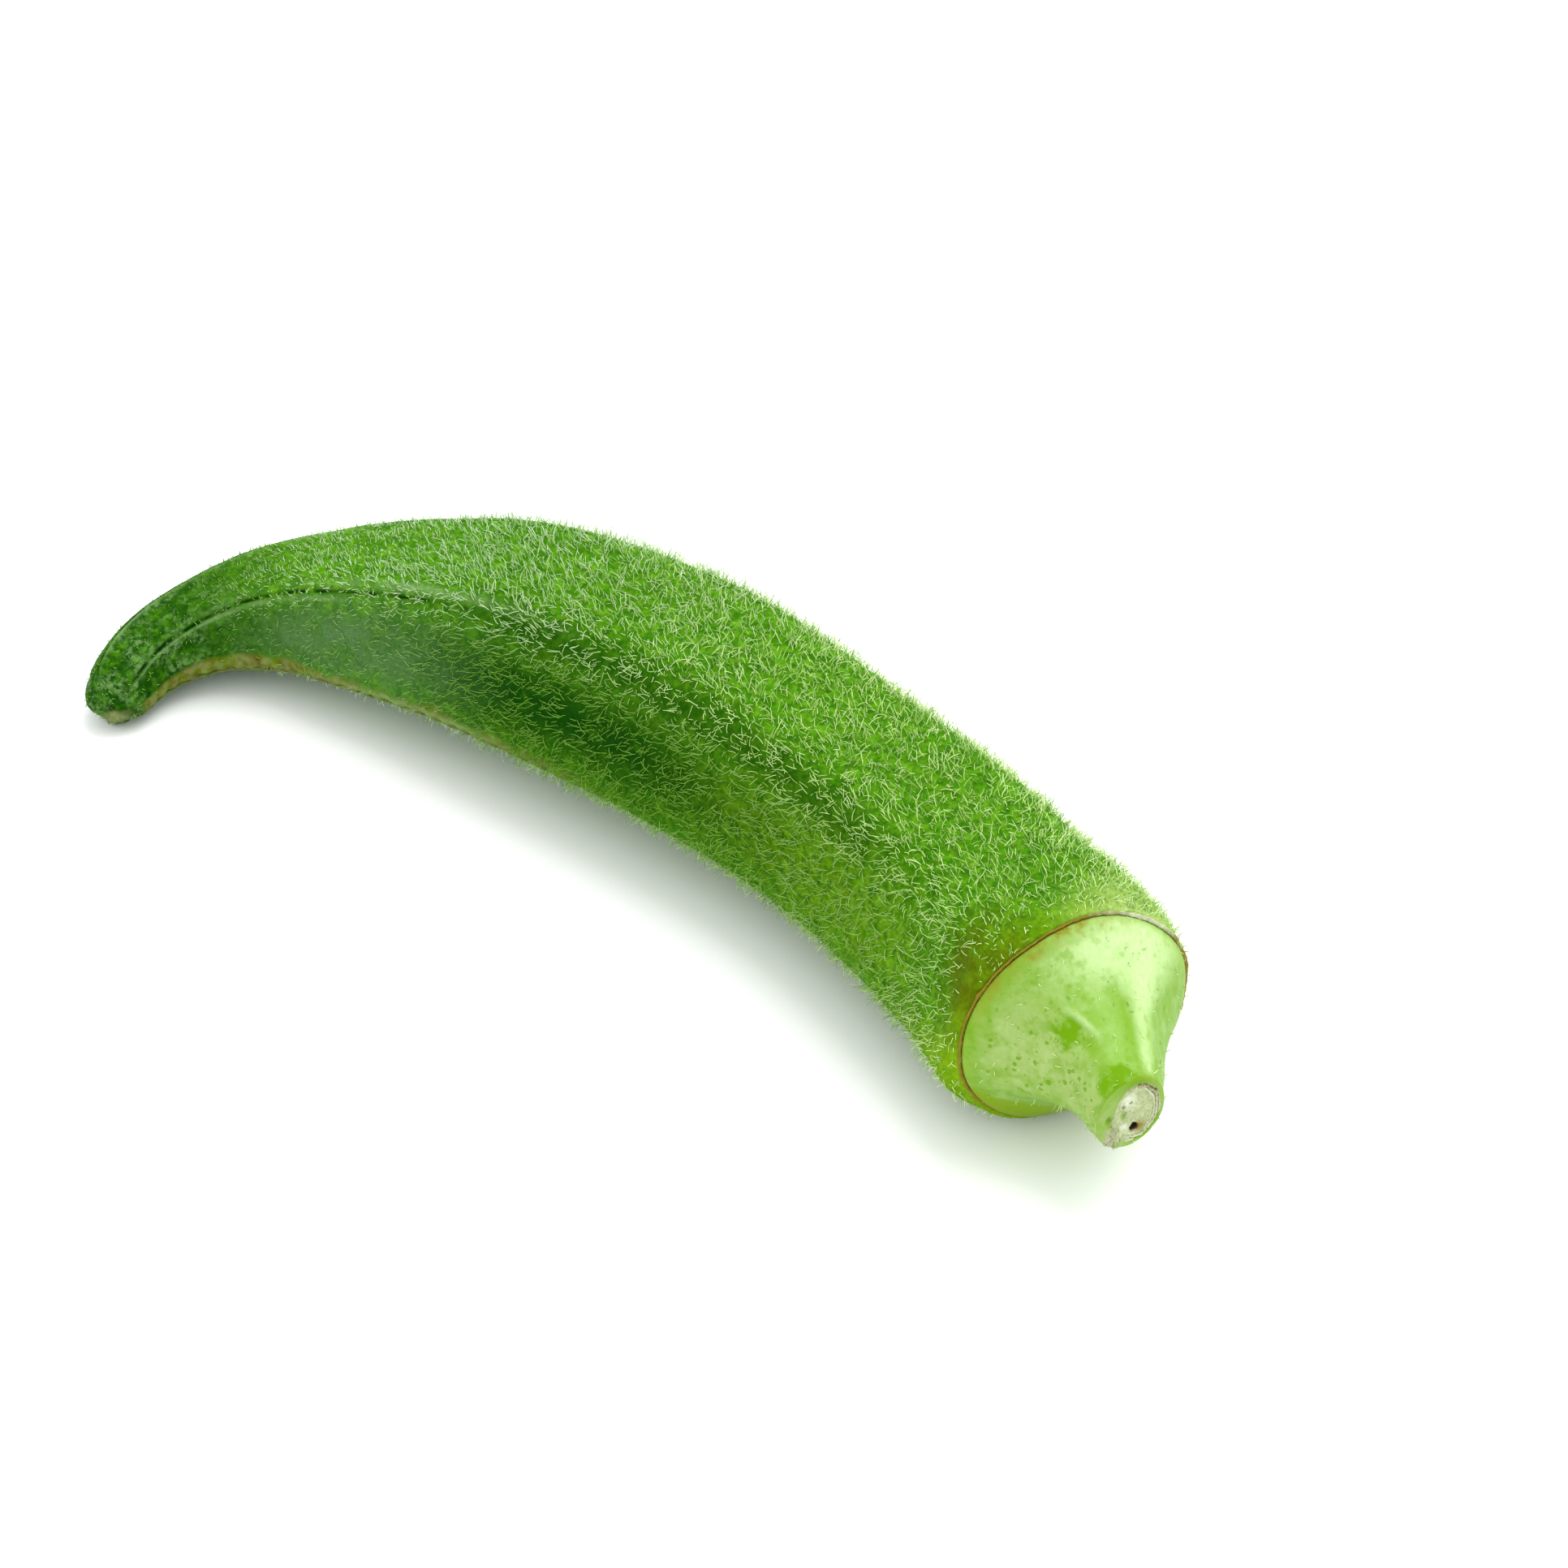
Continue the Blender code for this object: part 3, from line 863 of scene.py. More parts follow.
def pod_relief(values, angle, s):
    """What the visible skin adds to the pod's rule: seams, beads, flutes, dents and lobes."""
    side = facing(angle, s)
    off = np.abs(from_rib(angle, s))
    seam = from_rib(angle, s, SEAM_PLACE)
    steps = s[:, 0]
    near_tip = rise(s, 74, 12)
    groove = groove_line(angle, s) * (0.3 + 0.7 * dashes(s))
    lips = hump(seam - 6.5 * DEGREE, 6.5 * DEGREE) * (1 - 0.7 * near_tip)
    lips = lips + (0.6 + 0.4 * near_tip) * hump(seam + 4.6 * DEGREE, 3.8 * DEGREE)
    relief = seam_strength(s) * (-values.seam_depth * groove + values.lip_height * lips)
    flutes = np.cos(around(angle, s) * 23) * hump(off - 20 * DEGREE, 16 * DEGREE)
    relief = relief + FLUTE_HEIGHT * flutes * rise(s, 70, 14)
    beads = 0.5 * np.sin(math.tau * steps / BEAD_SPACING + 4 * wave(steps, 0.006, 8.4))
    beads = (0.6 * wave(steps, 0.0013, 5.2) + beads)[:, None]
    relief = relief + values.bead_height * beads * side(-72, 13) * rise(s, 35, 20)
    relief = relief - values.hollow_depth * side(-16, 22) * spot(s, 3.1, 2.7)
    relief = relief + values.cheek * side(-104, 46) * spot(s, 2.2, 5.5)
    return relief + LOBE_HEIGHT * hump(off, 30 * DEGREE) * spot(s, 107.8, 1.8)


def pod_values(angle, s, pressed):
    """The masks that the pod's colours and hairs follow."""
    side = facing(angle, s)
    seam = from_rib(angle, s, SEAM_PLACE)
    strength = seam_strength(s)
    near_tip = rise(s, 74, 12)
    lower, low_side, top_side = side(-40, 46), side(-84, 52), side(80, 56)
    depth = along(SHADE_DEPTH, s)
    # Painted shade that dims the hairs of the lower facet.
    lower_hair_shade = np.clip(1.7 * side(-46, 52), 0.0, 1.0) * rise(s, 4, 10) * (0.55 + 0.45 * depth)
    # A strip of painted shade just below the middle rib's crest; the hairs also thin there.
    painted_rib_shade = side(-6, 22) * rise(s, 10, 12) * fall(s, 60, 12) * 0.72
    tip = rise(s, 84, 18)
    collar = 1 - ease(s / (0.0034 + 0.014 * low_side + 0.002 * top_side))
    rib = around(angle, s, (6 * rise(s, 80, 18) - 75) * DEGREE)
    width = 4 + 5.5 * rise(s, 80, 20) + 3 * wave(s[:, 0], 0.0016, 2.7)[:, None]
    warm = 1 - ease((np.abs(rib) - width * DEGREE) / (7 * DEGREE))
    warm = warm * rise(s, 44, 30) * fall(s, 106.6, 1.5)
    lips = hump(seam - 5.5 * DEGREE, 5 * DEGREE) * strength * (1 - 0.8 * near_tip)
    lips = lips + hump(seam + 5 * DEGREE, 3.4 * DEGREE) * strength * near_tip
    groove = groove_line(angle, s) * strength * (0.15 + 0.85 * dashes(s))
    end = rise(s, 107.4, 1) * side(-130, 85)
    fuzz = rise(s, -0.2, 1) * (0.65 + 0.35 * rise(s, 2, 5))
    fuzz = fuzz * (1 - 0.45 * painted_rib_shade) * (1 - 0.25 * lower) * (1 - 0.15 * fall(s, 10, 20))
    fuzz = fuzz * (1 - 0.5 * lower * rise(s, 64, 14)) * (1 - 0.65 * tip) * (1 - 0.9 * end)
    fuzz = fuzz * (1 - 0.85 * side(-14, 30) * spot(s, 2.2, 3.8)) * (1 - 0.3 * low_side)
    fuzz = fuzz + 0.8 * top_side * fall(s, 0, 8)
    fuzz = fuzz * (1 + 0.35 * hump(from_rib(angle, s), 14 * DEGREE) * fall(s, 50, 20))
    fuzz = np.where(pressed, 0.0, fuzz * (1 - 0.75 * warm) * (1 - 0.8 * groove))
    length = (1 - 0.5 * rise(s, 62, 20)) * (0.6 + 0.4 * rise(s, 0.5, 6))
    return {
        # Painted shade: the lower facet, and the strip below the middle rib.
        "dark": np.clip(np.maximum(lower * depth, painted_rib_shade), 0.0, 1.0),
        # Painted shade on the lower facet's hairs; the hairs are also dimmer at the tip.
        "shaded": np.maximum(lower_hair_shade, np.minimum(1.6 * tip, 0.9)),
        # Waxy coating and painted sheen on the hook's lower side.
        "bloom_and_sheen": lower * spot(s, 80, 21),
        "tip": tip,
        "collar": collar * (1 - 0.45 * side(22, 42)),
        "collar_top": top_side * fall(s, 0, 4.2),
        "warm": warm,
        "sunny": lower * rise(s, 4, 12) * fall(s, 22, 26),
        "bruise": side(-12, 50) * fall(s, 2.2, 4.2),
        "lips": lips,
        "groove": groove,
        "end": end,
        "tousled": 1.08 - 0.55 * rise(s, 46, 22),
        "fuzz": np.clip(fuzz, 0.0, 1.6),
        "hair_length": length * (1 - 0.3 * tip) * (1 + 0.3 * top_side * fall(s, 0, 8)),
    }


def flow_values(angle, s, radius, lean):
    """The values that both skins carry: place, the straightened pod, and how its hairs lean."""
    tangent = CENTRE_LINE(s)[1]
    straight = np.stack([radius * np.cos(angle), radius * np.sin(angle), s], -1)
    return {"place": s, "straight": straight, "tipward": tangent * lean[..., None]}


def make_pod_skin(values):
    """The green pod as one closed fine skin."""
    even = row_places(0.0011, POD_LENGTH - TIP_DOME, POD_ROW_STEP, domed=True)
    rows = (np.array(POD_RIM) / MM, even)
    angle, s, radius, points = skin_rows(rows, pod_radius, pod_relief, values)
    stored = pod_values(angle, s, pressed=points[..., 2] + SHIFT[2] < TOUCHES_TABLE)
    lean = 0.25 + 0.75 * facing(angle, s)(-40, 46) * rise(s, 12, 20)
    stored |= flow_values(angle, s, radius, lean)
    stored["soft"] = rise(s, 0.4, 2) * ease((POD_LENGTH - s) / 0.002)
    tip, tip_way = middle_at(POD_LENGTH)
    return closed_loft("pod_skin", points, middle_at(0.0006)[0], tip - tip_way * 0.0007, stored)


def pod_finish(values):
    """Green skin: lighter facets, a lower facet darkened by painted shade with a strip of it below the
    middle rib, a waxy coating with painted sheen on the hook, yellow collar, beaded rib and bruised tip.
    """
    look = Finish("okra_pod_skin", values)
    plus, mottle, lay = look.plus, look.mottle, look.lay
    patches, blotches, dapples = mottle(0.005, 1.9), mottle(0.0018, 2.4), mottle(0.0006, 3.6)
    streaks = look.streaks(0.0011, 2.4, 0.25)
    lay("light_green")
    lay("fresh_green", patches, 0.6)
    lay("fresh_green", dapples, 0.4)
    lay("lit_green", mottle(0.001, 4.5), 0.62)
    # Painted shade over the lower facet and below the middle rib.
    lay("dark_green", "dark", plus(blotches, 0.62))
    lay("dark_green", streaks, 0.3)
    lay("dark_green", mottle(0.0007, 5.0), 0.4)
    # Waxy coating and painted sheen on the hook's lower side.
    lay("bloom_green", "bloom_and_sheen", plus(blotches, 0.35))
    lay("tip_green", "tip", plus(streaks, 0.45))
    lay("fresh_green", mottle(0.0013, 6.0), 0.38, "tip")
    lay("groove_green", mottle(0.0006, 7.0), 0.65, "tip")
    scuffs = look.calc("MULTIPLY", mottle(0.0004, 8.0), mottle(0.0017, 6.0), clamp=True)
    lay("pale", streaks, 0.75, scuffs, "tip")
    lay("collar_green", dapples, 0.55, "sunny")
    lay("collar_green", "collar", plus(patches, 0.25), plus(dapples, 0.55))
    lay("collar_pale", "collar_top", plus(blotches, 0.45))
    lay("rib_yellow", "warm", plus(blotches, 0.65))
    lay("brown", mottle(0.0012, 5.0), "warm", 0.95)
    lay("knob", mottle(0.0007, 6.0), "warm", 0.4)
    lay("bruise", "bruise", plus(blotches, 0.3))
    lay("pale", plus(streaks, 0.1), 0.8, "lips")
    lay("groove_green", "groove", 1.3)
    lay("tip_scar", "end", plus(blotches, 0.25))
    lay((0.5, 0.62, 0.4), mottle(0.00035, 4.0), 0.5, blend="MULTIPLY")
    return look.finish(0.00022, 0.000025, 0.5, 0.12, specular=0.01)


def fold_place(angle, s):
    """Where a point of the cap lies, in millimetres, across and along its short slanting fold."""
    x = (around(angle, s) - 19 * DEGREE) * 6.5
    y = -s * MM - 5.6
    turn = 26 * DEGREE
    return x * math.cos(turn) - y * math.sin(turn), x * math.sin(turn) + y * math.cos(turn)


def cap_relief(values, angle, s):
    """The cap's short fold, the hollow beside it, the rounded underside and one softer rib."""
    side = facing(angle, s)
    across, up = fold_place(angle, s)
    relief = values.fold_height * hump(across, 0.55) * hump(up, 2.3)
    relief = relief - FOLD_HOLLOW * side(4, 20) * spot(s, -5.8, 2.5)
    relief = relief + FOOT_FULLNESS * side(-112, 40) * spot(s, -1.2, 3.2)
    return relief - values.soft_crest * side(72, 19) * spot(s, -7.2, 5.6)


def cap_values(angle, s):
    """The masks that the cap's colours and hairs follow."""
    side, down = facing(angle, s), -s
    across, up = fold_place(angle, s)
    # Painted highlight along the rib that faces the lamp.
    painted_shine = side(76, 19 + 34 * fall(down, 0, 6)) * rise(down, 0.1, 0.8)
    painted_shine = painted_shine * fall(down, 10.8, 1.3) * (1 - 0.3 * rise(down, 4, 3))
    under = around(angle, s, -72 * DEGREE) + 1.1 * rise(down, 0.2, 5.2)
    foot = ease(-under / (7 * DEGREE)) * ease((around(angle, s, -172 * DEGREE) + 0.1) / 0.4)
    stub = rise(down, 9.6, 1.6)
    edge = rise(down, 11.6, 0.3)
    return {
        "hollow": side(2, 23) * spot(s, -5.8, 2.4),
        # The fold's painted highlight.
        "fold": hump(across, 0.6) * hump(up, 2.6),
        "valley": side(38, 26) * rise(down, 0.8, 4),
        "painted_shine": painted_shine,
        "pale_face": side(-34, 68) * rise(down, 0.6, 1.6),
        # Painted light on the cap's upper side near the scar.
        "top": side(54, 58) * spot(s, -1.6, 3.6),
        "foot": foot * fall(down, 4.8, 1.6),
        "rim": fall(down, 0, 1.6) * (1 - 0.7 * side(80, 40)),
        "above": side(26, 56) * spot(s, -11.4, 2.6),
        "stain": spot(s, -0.2, 1.2) * side(20, 66),
        "dried": edge * side(75, 75),
        "fuzz": rise(down, 0.8, 1) * (1 - edge) * (0.6 + 1.4 * stub),
        "tousled": 1.0 + 0 * s,
        "hair_length": 0.42 + 0 * s,
    }


def make_cap_skin(values):
    """The bell-shaped cap with the stem's stump, as one closed skin."""
    even = row_places(-0.0006, -CAP_LENGTH + 0.00012, CAP_ROW_STEP)
    rows = (np.array(CAP_RIM) / MM, even, np.array(STEM_EDGE) / MM)
    angle, s, radius, points = skin_rows(rows, cap_radius, cap_relief, values)
    stored = cap_values(angle, s) | flow_values(angle, s, radius, 0.6 + 0 * s)
    stored["soft"] = rise(-s, 0.2, 1) * ease((CAP_LENGTH + s) / 0.0006)
    outer = middle_at(-CAP_LENGTH + 0.0012)[0]
    return closed_loft("cap_skin", points, middle_at(0.0009)[0], outer, stored)


def cap_finish(values):
    """Pale smooth green with patches, flecks, a stained scar line, a green foot, and painted highlights on
    one rib, the upper side and the fold.
    """
    look = Finish("okra_cap_skin", values)
    plus, mottle, lay = look.plus, look.mottle, look.lay
    patches, clouds, spots = mottle(0.0034, 2.4), mottle(0.0012, 3.6), mottle(0.0009, 7.0)
    streaks = look.streaks(0.0008, 3.0, 0.2)
    lay("mid_green")
    lay("light_green", "valley", 0.75)
    lay("pale_green", "pale_face", plus(clouds, 0.42))
    lay("deep_green", patches, streaks, 0.6)
    # Painted highlight along the lit rib.
    lay("bright_green", "painted_shine", plus(streaks, 0.62))
    lay("bright_green", streaks, clouds, 0.3)
    lay("deep_green", look.broken("hollow", spots))
    lay("deep_green", look.broken("above", spots))
    # Painted light on the cap's upper side.
    lay("bright_green", "top", plus(clouds, 0.45))
    lay("rim_green", "rim", plus(clouds, 0.1))
    lay("foot_green", "foot", 1.3)
    # Painted highlight on the fold's ridge.
    lay("bright_green", "fold", 0.7)
    lay("deep_green", mottle(0.0004, 3.0), 0.16)
    pale_face = look.value("pale_face")
    lay("deep_green", look.flecks(0.0007, 0.26, 0.78), plus(pale_face, 0.3), 0.85)
    lay((0.03, 0.04, 0.01), look.flecks(0.003, 0.028, 0.4), 0.8)
    lay("stain", "stain", mottle(0.0012, 3.0), 1.3)
    lay("stain", clouds, 0.6, "dried")
    return look.finish(0.0003, 0.000015, 0.42, 0.12, specular=0.06)


def make_scar_ring(values, material):
    """The papery edge where the flower's base dried off, as one closed ring."""
    count = 420
    angle = np.linspace(0.0, math.tau, count, endpoint=False)
    s = 0.00007 * wave(angle, 0.045, 6.1) - 0.00006
    papery, knot = facing(angle, s)(80, 46), facing(angle, s)(-17, 2.6)
    radius = pod_radius(angle, 0 * s) + 0.00005 + 0.00003 * papery
    points = skin_points(angle, s, radius)
    outward = points - CENTRE_LINE(s)[0]
    outward /= np.linalg.norm(outward, axis=-1, keepdims=True)
    mesh = bpy.data.meshes.new("scar_path")
    ends = [(i, (i + 1) % count) for i in range(count)]
    mesh.from_pydata((points + SHIFT).tolist(), ends, [])
    store(mesh, "fullness", 0.85 + 0.25 * papery + 0.8 * knot + 0.35 * wave(angle, 0.06, 9.3))
    store(mesh, "crack", knot)
    store(mesh, "scar", 1.3 - 1.2 * papery + 0.6 * wave(angle, 0.09, 2.2))
    store(mesh, "white", 0.5 * papery)
    store(mesh, "outward", outward)
    ring = new_object("scar_ring", mesh)
    bake_nodes(ring, group_tree("Okra Scar Edge"), {"Width": values.scar_width, "Material": material})
    return ring


def stem_finish(values):
    """Dry plant fibre: cream where it is fresh, tan and umber where it has dried."""
    look = Finish("okra_cut_stem", values)
    plus, lay = look.plus, look.lay
    patches, fine = look.mottle(0.0007, 4.0), look.mottle(0.00022, 4.0)
    lay("cream")
    lay("sap", patches, 0.5)
    lay("white", "white", plus(patches, 0.5))
    lay("tan", "dry", plus(patches, 0.35))
    lay("grey", "torn", plus(patches, 0.45))
    lay("umber", "dry", fine, 0.75)
    lay("umber", "crack", 0.7)
    lay("scar", "scar", plus(patches, 0.75))
    lay((0.45, 0.5, 0.35), fine, 0.4, blend="MULTIPLY")
    lay("skin_green", "skin")
    lay("sap", "skin", patches, 0.5)
    lay("deep_green", "deep", plus(patches, 0.7))
    # The pith hole: partly its own dark brown, partly painted shade inside the hole.
    lay("umber", "pith")
    return look.finish(0.00014, 0.00006, 0.68, 0.12, specular=0.2)


def make_cut_face(values):
    """The stem's cut face: fibrous, torn on one side, with cracks and an off-centre pith hole."""
    columns = 180
    shares = np.concatenate([[0.3, 0.8, 0.93, 0.984], np.linspace(0.972, 0.02, 70)])
    sinks = np.concatenate([[0.0018, 0.0015, 0.0007, 0.00007], np.zeros(70)])
    face = np.arange(len(shares))[:, None] >= 4
    turn = np.linspace(0.0, math.tau, columns, endpoint=False)
    angle = rib_angle(-CAP_LENGTH) + np.repeat(turn[None, :], len(shares), axis=0)
    s = np.full(angle.shape, -CAP_LENGTH)
    radius = cap_radius(angle, s) * shares[:, None]
    x, y = radius * np.cos(angle) * MM, radius * np.sin(angle) * MM

    def ragged(grain):
        """Noise over the face, from -1 to 1."""
        spots = zip(x.ravel() / grain, y.ravel() / grain)
        return np.array([noise.noise(Vector((a, b, 4.0))) for a, b in spots]).reshape(x.shape)

    def blot(across, up, reach, wide=1.0, high=1.0):
        """1 at a point of the face and 0 from a reach round it, in millimetres."""
        return hump(np.hypot((x - across) / wide, (y - up) / high), reach)

    fibres = ragged(0.22) + 0.7 * ragged(0.7)
    part = np.hypot((x + 0.2) / 2.45, (y - 0.62) / 1.88) + 0.035 * ragged(0.6)
    strip = hump(part - 1.1, 0.2) * ease((-y - 0.5) / 0.4) * ease((0.5 - x) / 0.6)
    lump = hump(np.hypot((x + 1.8) / 1.5, (y + 1.7) / 1.1) + 0.25 * ragged(0.6), 1.0)
    torn = np.maximum(strip, np.clip(1.4 * lump, 0.0, 1.0))
    skin = ease((part - 0.99) / 0.06) * (1 - torn)
    crack = blot(0.6, -0.5, 0.22, wide=1.4) + blot(0.8, 0.1, 0.2, wide=1.3)
    crack = crack + 0.5 * blot(-0.1, -0.45, 0.3)
    dent = blot(0.0, -1.72, 0.55, high=0.8)
    olive = 1.3 * dent + blot(-0.1, -0.5, 0.4, wide=1.3)
    layers = np.cos(part * 50 + 4.5 * ragged(1.1)) * ease((part - 0.66) / 0.12)
    layers = layers * ease((y - 0.35 * x - 0.1) / 0.9) * (1 - skin)
    sunk = (1 - skin) * (1 - torn)
    depth = 0.1 * sunk + 0.9 * blot(-1.46, 0.36, 0.44) + 0.16 * crack + 0.25 * dent
    depth = (depth - 0.12 * torn - 0.05 * layers - 0.03 * skin) / MM
    depth = depth - values.fibre_height * fibres * (sunk + 1.5 * torn)
    points = skin_points(angle, s, radius, sinks[:, None] + np.where(face, depth, 0.0))
    top = facing(angle, s)(78, 80) * hump(part - 0.94, 0.16)
    white = blot(1.0, -0.1, 1.0) + blot(-1.2, -0.5, 0.6) + 0.7 * np.clip(layers, 0, 1)
    deep = olive + skin * hump(angle - 12 * DEGREE, 66 * DEGREE)
    stored = {
        "dry": np.clip(0.8 * top + 0.45 * np.clip(-layers, 0, 1), 0.0, 1.0),
        "torn": torn,
        "crack": np.clip(crack, 0.0, 1.0),
        "deep": np.clip(deep, 0.0, 1.0),
        "white": np.clip(white, 0.0, 1.0) * sunk,
        "skin": skin,
        "scar": blot(-1.5, 0.8, 0.8),
        # Partly the pith's own dark brown, partly painted shade inside the sunk hole.
        "pith": np.clip(6.0 * blot(-1.46, 0.36, 0.43), 0.0, 1.0) * face,
        "fuzz": np.clip(0.8 * torn + 0.25 * top, 0.0, 1.0) * face,
        "tousled": 1.0 + 0 * s,
        "hair_length": 0.32 + 0 * s,
        "place": 0 * s,
        "tipward": np.broadcast_to(np.array((-0.6, -0.3, -0.5)), (*s.shape, 3)),
    }
    centre, way = middle_at(-CAP_LENGTH)
    return closed_loft("cut_face", points, centre + way * 0.0018, centre + way * 0.0002, stored)


def hair_finish(values):
    """Whitish hairs, greener and clearer at the root, with painted shade dimming those of the lower facet.
    """
    look = Finish("okra_hair", values)
    far = look.calc("SUBTRACT", look.value("place"), 0.035)
    look.lay("colour")
    look.lay("frosty", look.calc("MULTIPLY", far, 30.0, clamp=True))
    look.lay("root", look.calc("SUBTRACT", 1.0, look.value("up_hair")), 0.45)
    look.lay("dim", look.plus(look.value("shade"), -0.1))
    # Painted shade on the lower facet's hairs.
    look.lay("shaded", "shaded", 0.93)
    return look.finish(0.0002, 0.0, 0.38, 0.05, specular=0.15)


# Each: name, skin, where it starts and ends along the pod, and its share of the density.
HAIR_STRIPS = (
    ("hairs_shoulder", "pod_skin", 0.0, 0.022, 1.0),
    ("hairs_body", "pod_skin", 0.022, 0.044, 1.0),
    ("hairs_middle", "pod_skin", 0.044, 0.066, 1.0),
    ("hairs_hook", "pod_skin", 0.066, 0.2, 1.0),
    ("hairs_cap", "cap_skin", -0.2, 0.0, 0.12),
)
FIBRES = ("torn_fibres", "cut_face", -1.0, 1.0, 1.6)


def make_hairs(values, material, name, skin_name, start, end, density_share):
    """The hairs on one strip of a skin, as one mesh."""
    skin = bpy.data.objects.get(skin_name)
    if skin is None:
        raise RuntimeError(f"{skin_name} has to be made before its hairs")
    hairs = new_object(name, skin.data.copy())
    inputs = {"From": start, "To": end, "Material": material}
    inputs["Density"] = values.density * density_share * 1.0e6
    for key in ("Length", "Thickness", "Spread", "Lean", "Rise", "Swirl", "Clumping", "Curl", "Seed"):
        inputs[key] = getattr(values, key.lower())
    bake_nodes(hairs, group_tree("Okra Hairs"), inputs)
    return hairs


# ---- the stage ----

CAMERA_AZIMUTH = 36.31 * DEGREE
CAMERA_ELEVATION = 37.715 * DEGREE
CAMERA_DISTANCE = 0.3237
CAMERA_LENS = 100.0
FRAME_LEFT_OF_RING = 0.02145
FRAME_ABOVE_RING = 0.01725
LAMP_PLACE = (0.1, 0.45, 1.05)


def make_camera():
    """The camera, looking down on the pod from its stem end's side."""
    data = bpy.data.cameras.new("camera")
    data.lens = CAMERA_LENS
    data.sensor_width = 36.0
    data.clip_start = 0.01
    data.clip_end = 20.0
    camera = new_object("camera", data)
    a, e = CAMERA_AZIMUTH, CAMERA_ELEVATION
    forward = Vector((-math.sin(a) * math.cos(e), math.cos(a) * math.cos(e), -math.sin(e)))
    right = Vector((math.cos(a), math.sin(a), 0.0))
    up = right.cross(forward)
    target = Vector(middle_at(0.0)[0] + SHIFT) - right * FRAME_LEFT_OF_RING + up * FRAME_ABOVE_RING
    camera.location = target - forward * CAMERA_DISTANCE
    camera.rotation_euler = (math.pi / 2 - e, 0.0, a)
    bpy.context.scene.camera = camera


def make_floor(values):
    """A wide pale table top."""
    bm = bmesh.new()
    bmesh.ops.create_grid(bm, x_segments=8, y_segments=8, size=2.5)
    mesh = bpy.data.meshes.new("floor")
    bm.to_mesh(mesh)
    bm.free()
    look = Finish("pale_floor", values)
    look.lay("floor")
    look.lay((0.97, 0.97, 0.97), look.mottle(0.02, 1.0), 0.5, blend="MULTIPLY")
    mesh.materials.append(look.finish(0.002, 0.0, 0.8, 0.15, specular=0.2))
    new_object("floor", mesh)


def make_light(values):
    """Even daylight and one wide soft lamp above and behind."""
    scene = bpy.context.scene
    scene.world = bpy.data.worlds.new("studio")
    scene.world.use_nodes = True
    sky = scene.world.node_tree.nodes["Background"].inputs
    sky["Color"].default_value = (1.0, 1.0, 1.0, 1.0)
    sky["Strength"].default_value = values.daylight
    data = bpy.data.lights.new("lamp", "AREA")
    data.shape = "SQUARE"
    data.size = values.lamp_size
    data.energy = values.lamp_power
    lamp = new_object("lamp", data)
    lamp.location = LAMP_PLACE
    lamp.rotation_euler = (-lamp.location).to_track_quat("-Z", "Y").to_euler()
    scene.view_settings.view_transform = "Standard"


# ---- operators ----


def dress(skin, values, swell_size, material):
    """Gives a skin its small relief and its finish, and hands it over."""
    inputs = {"Swell Height": values.swell, "Swell Size": swell_size, "Pebble Height": values.pebble}
    bake_nodes(skin, group_tree("Okra Skin Relief"), inputs | {"Material": material})
    hand_over(skin, skin.name)


class OKRA_OT_pod_skin(bpy.types.Operator):
    """Lays the fine green skin over the pod's solid"""

    bl_idname = "okra.pod_skin"
    bl_label = "Pod Skin"

    def execute(self, context):
        values = context.scene.okra_pod_skin
        dress(make_pod_skin(values), values, 0.006, pod_finish(values))
        return {"FINISHED"}


class OKRA_OT_cap_skin(bpy.types.Operator):
    """Lays the pale skin over the cap and the stem's stump"""

    bl_idname = "okra.cap_skin"
    bl_label = "Cap Skin"

    def execute(self, context):
        values = context.scene.okra_cap_skin
        dress(make_cap_skin(values), values, 0.003, cap_finish(values))
        return {"FINISHED"}


class OKRA_OT_stem(bpy.types.Operator):
    """Makes the stem's cut face and the papery scar round the cap"""

    bl_idname = "okra.stem"
    bl_label = "Cut Stem and Scar"

    def execute(self, context):
        values = context.scene.okra_stem
        material = stem_finish(values)
        face = make_cut_face(values)
        face.data.materials.append(material)
        hand_over(face, "cut_stem")
        hand_over(make_scar_ring(values, material), "cut_stem")
        return {"FINISHED"}


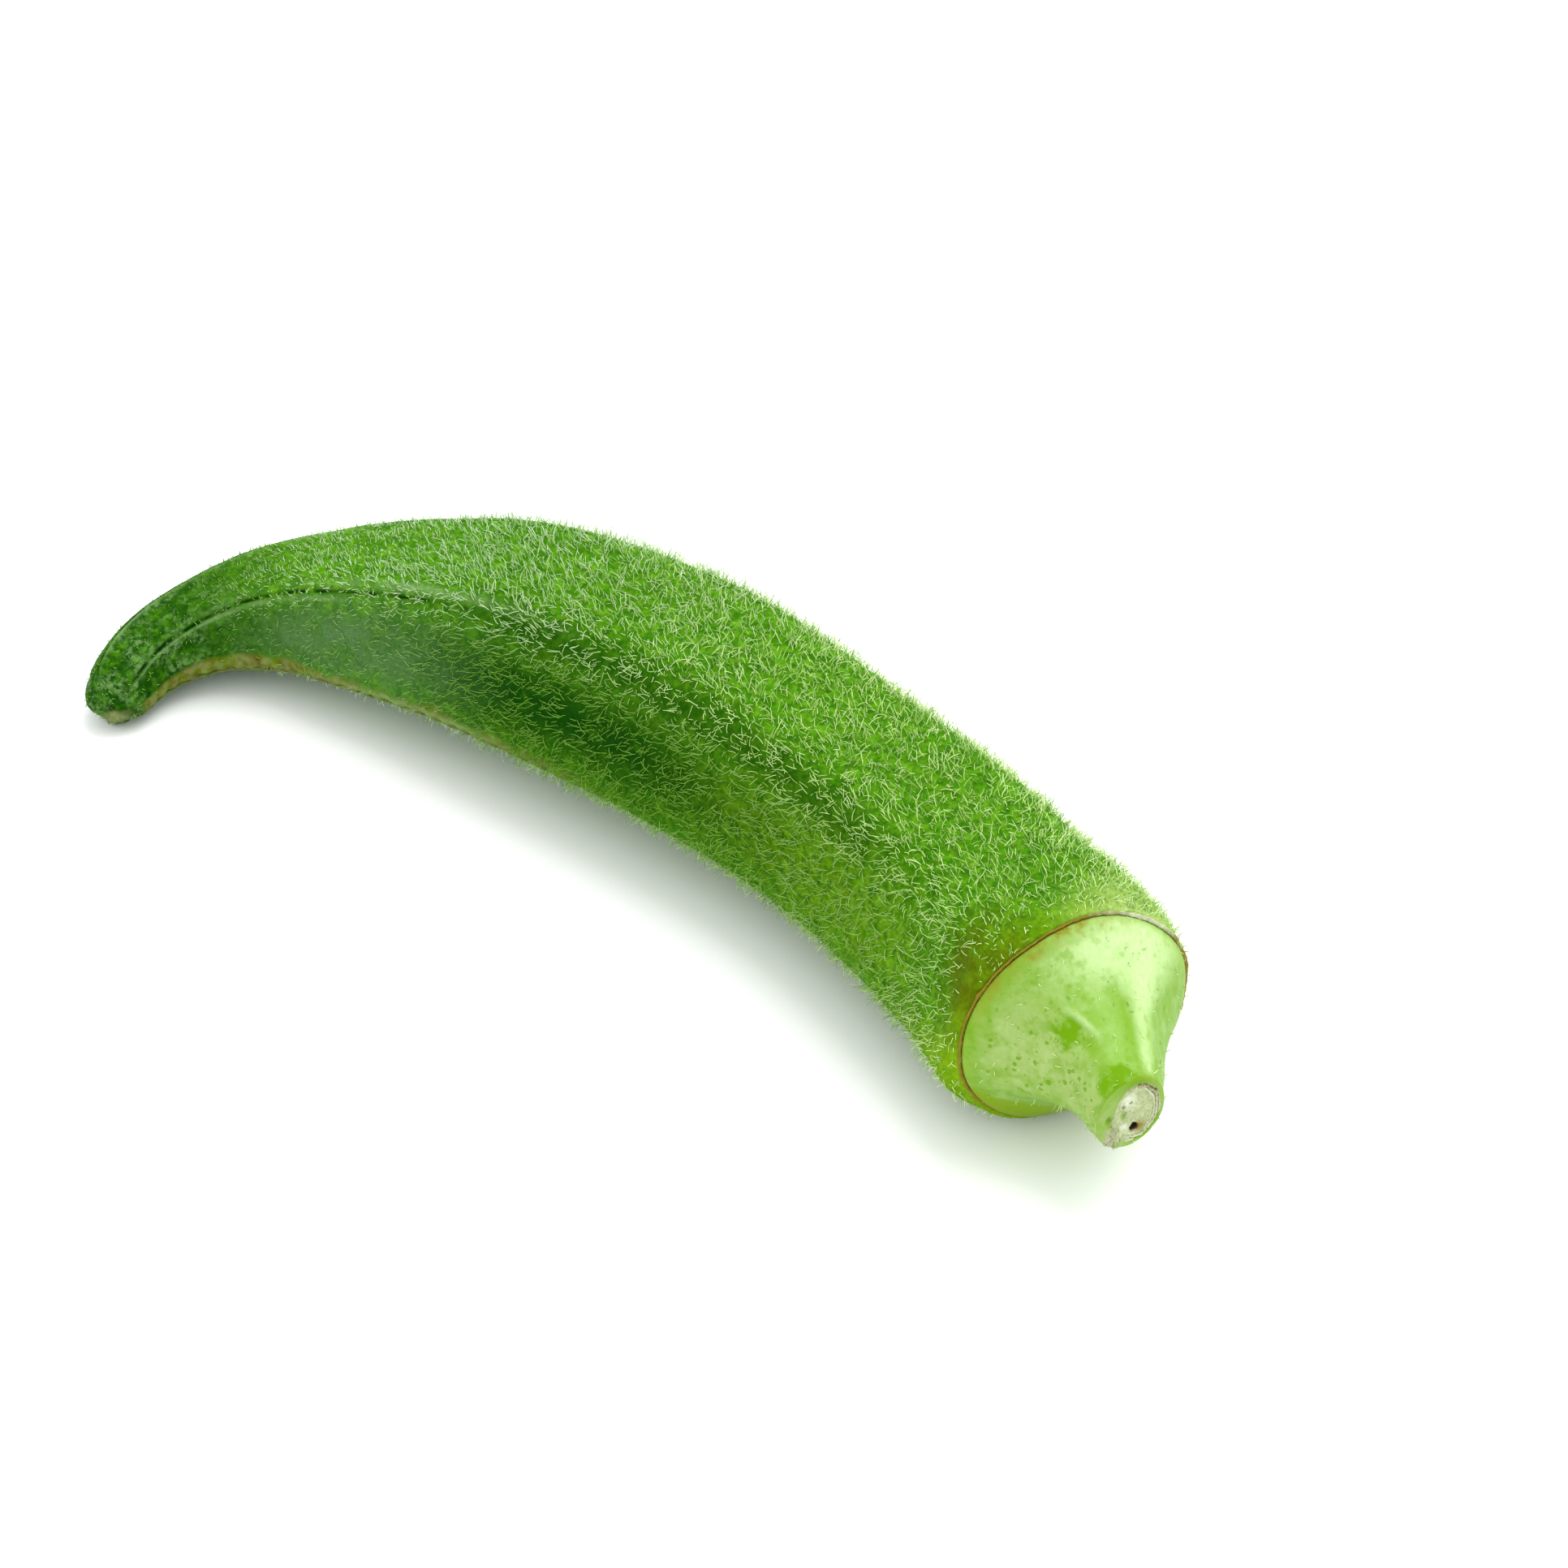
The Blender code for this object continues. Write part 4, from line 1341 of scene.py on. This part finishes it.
class OKRA_OT_hairs(bpy.types.Operator):
    """Grows the hairs on the pod, the few on its cap and the cut's loose fibres"""

    bl_idname = "okra.hairs"
    bl_label = "Hairs"

    def execute(self, context):
        values = context.scene.okra_hairs
        material = hair_finish(values)
        for strip in HAIR_STRIPS:
            hand_over(make_hairs(values, material, *strip), "hair")
        fibres = make_hairs(values, bpy.data.materials["okra_cut_stem"], *FIBRES)
        hand_over(fibres, "cut_stem")
        return {"FINISHED"}


class OKRA_OT_stage(bpy.types.Operator):
    """Sets the table, the light and the camera"""

    bl_idname = "okra.stage"
    bl_label = "Stage"

    def execute(self, context):
        values = context.scene.okra_stage
        make_floor(values)
        make_light(values)
        make_camera()
        return {"FINISHED"}


class OKRA_PT_panel(bpy.types.Panel):
    """Lists the pod's values and the operators that make its pieces"""

    bl_label = "Okra Pod"
    bl_idname = "OKRA_PT_panel"
    bl_space_type = "VIEW_3D"
    bl_region_type = "UI"
    bl_category = "Okra"

    def draw(self, context):
        for name, (_, operator) in STEPS.items():
            box = self.layout.box()
            group = getattr(context.scene, name)
            for property_name in group.__annotations__:
                box.prop(group, property_name)
            box.operator(operator.bl_idname)


STEPS = {
    "okra_pod_skin": (OkraPodSkin, OKRA_OT_pod_skin),
    "okra_cap_skin": (OkraCapSkin, OKRA_OT_cap_skin),
    "okra_stem": (OkraStem, OKRA_OT_stem),
    "okra_hairs": (OkraHairs, OKRA_OT_hairs),
    "okra_stage": (OkraStage, OKRA_OT_stage),
}
CLASSES = [cls for pair in STEPS.values() for cls in pair] + [OKRA_PT_panel]


def register():
    for cls in CLASSES:
        bpy.utils.register_class(cls)
    for name, (group, _) in STEPS.items():
        setattr(bpy.types.Scene, name, PointerProperty(type=group))


def unregister():
    for name in STEPS:
        delattr(bpy.types.Scene, name)
    for cls in reversed(CLASSES):
        bpy.utils.unregister_class(cls)


def main():
    """Makes every piece in order."""
    register()
    bpy.ops.okra.pod_skin()
    bpy.ops.okra.cap_skin()
    bpy.ops.okra.stem()
    bpy.ops.okra.hairs()
    bpy.ops.okra.stage()


if __name__ == "__main__":
    main()
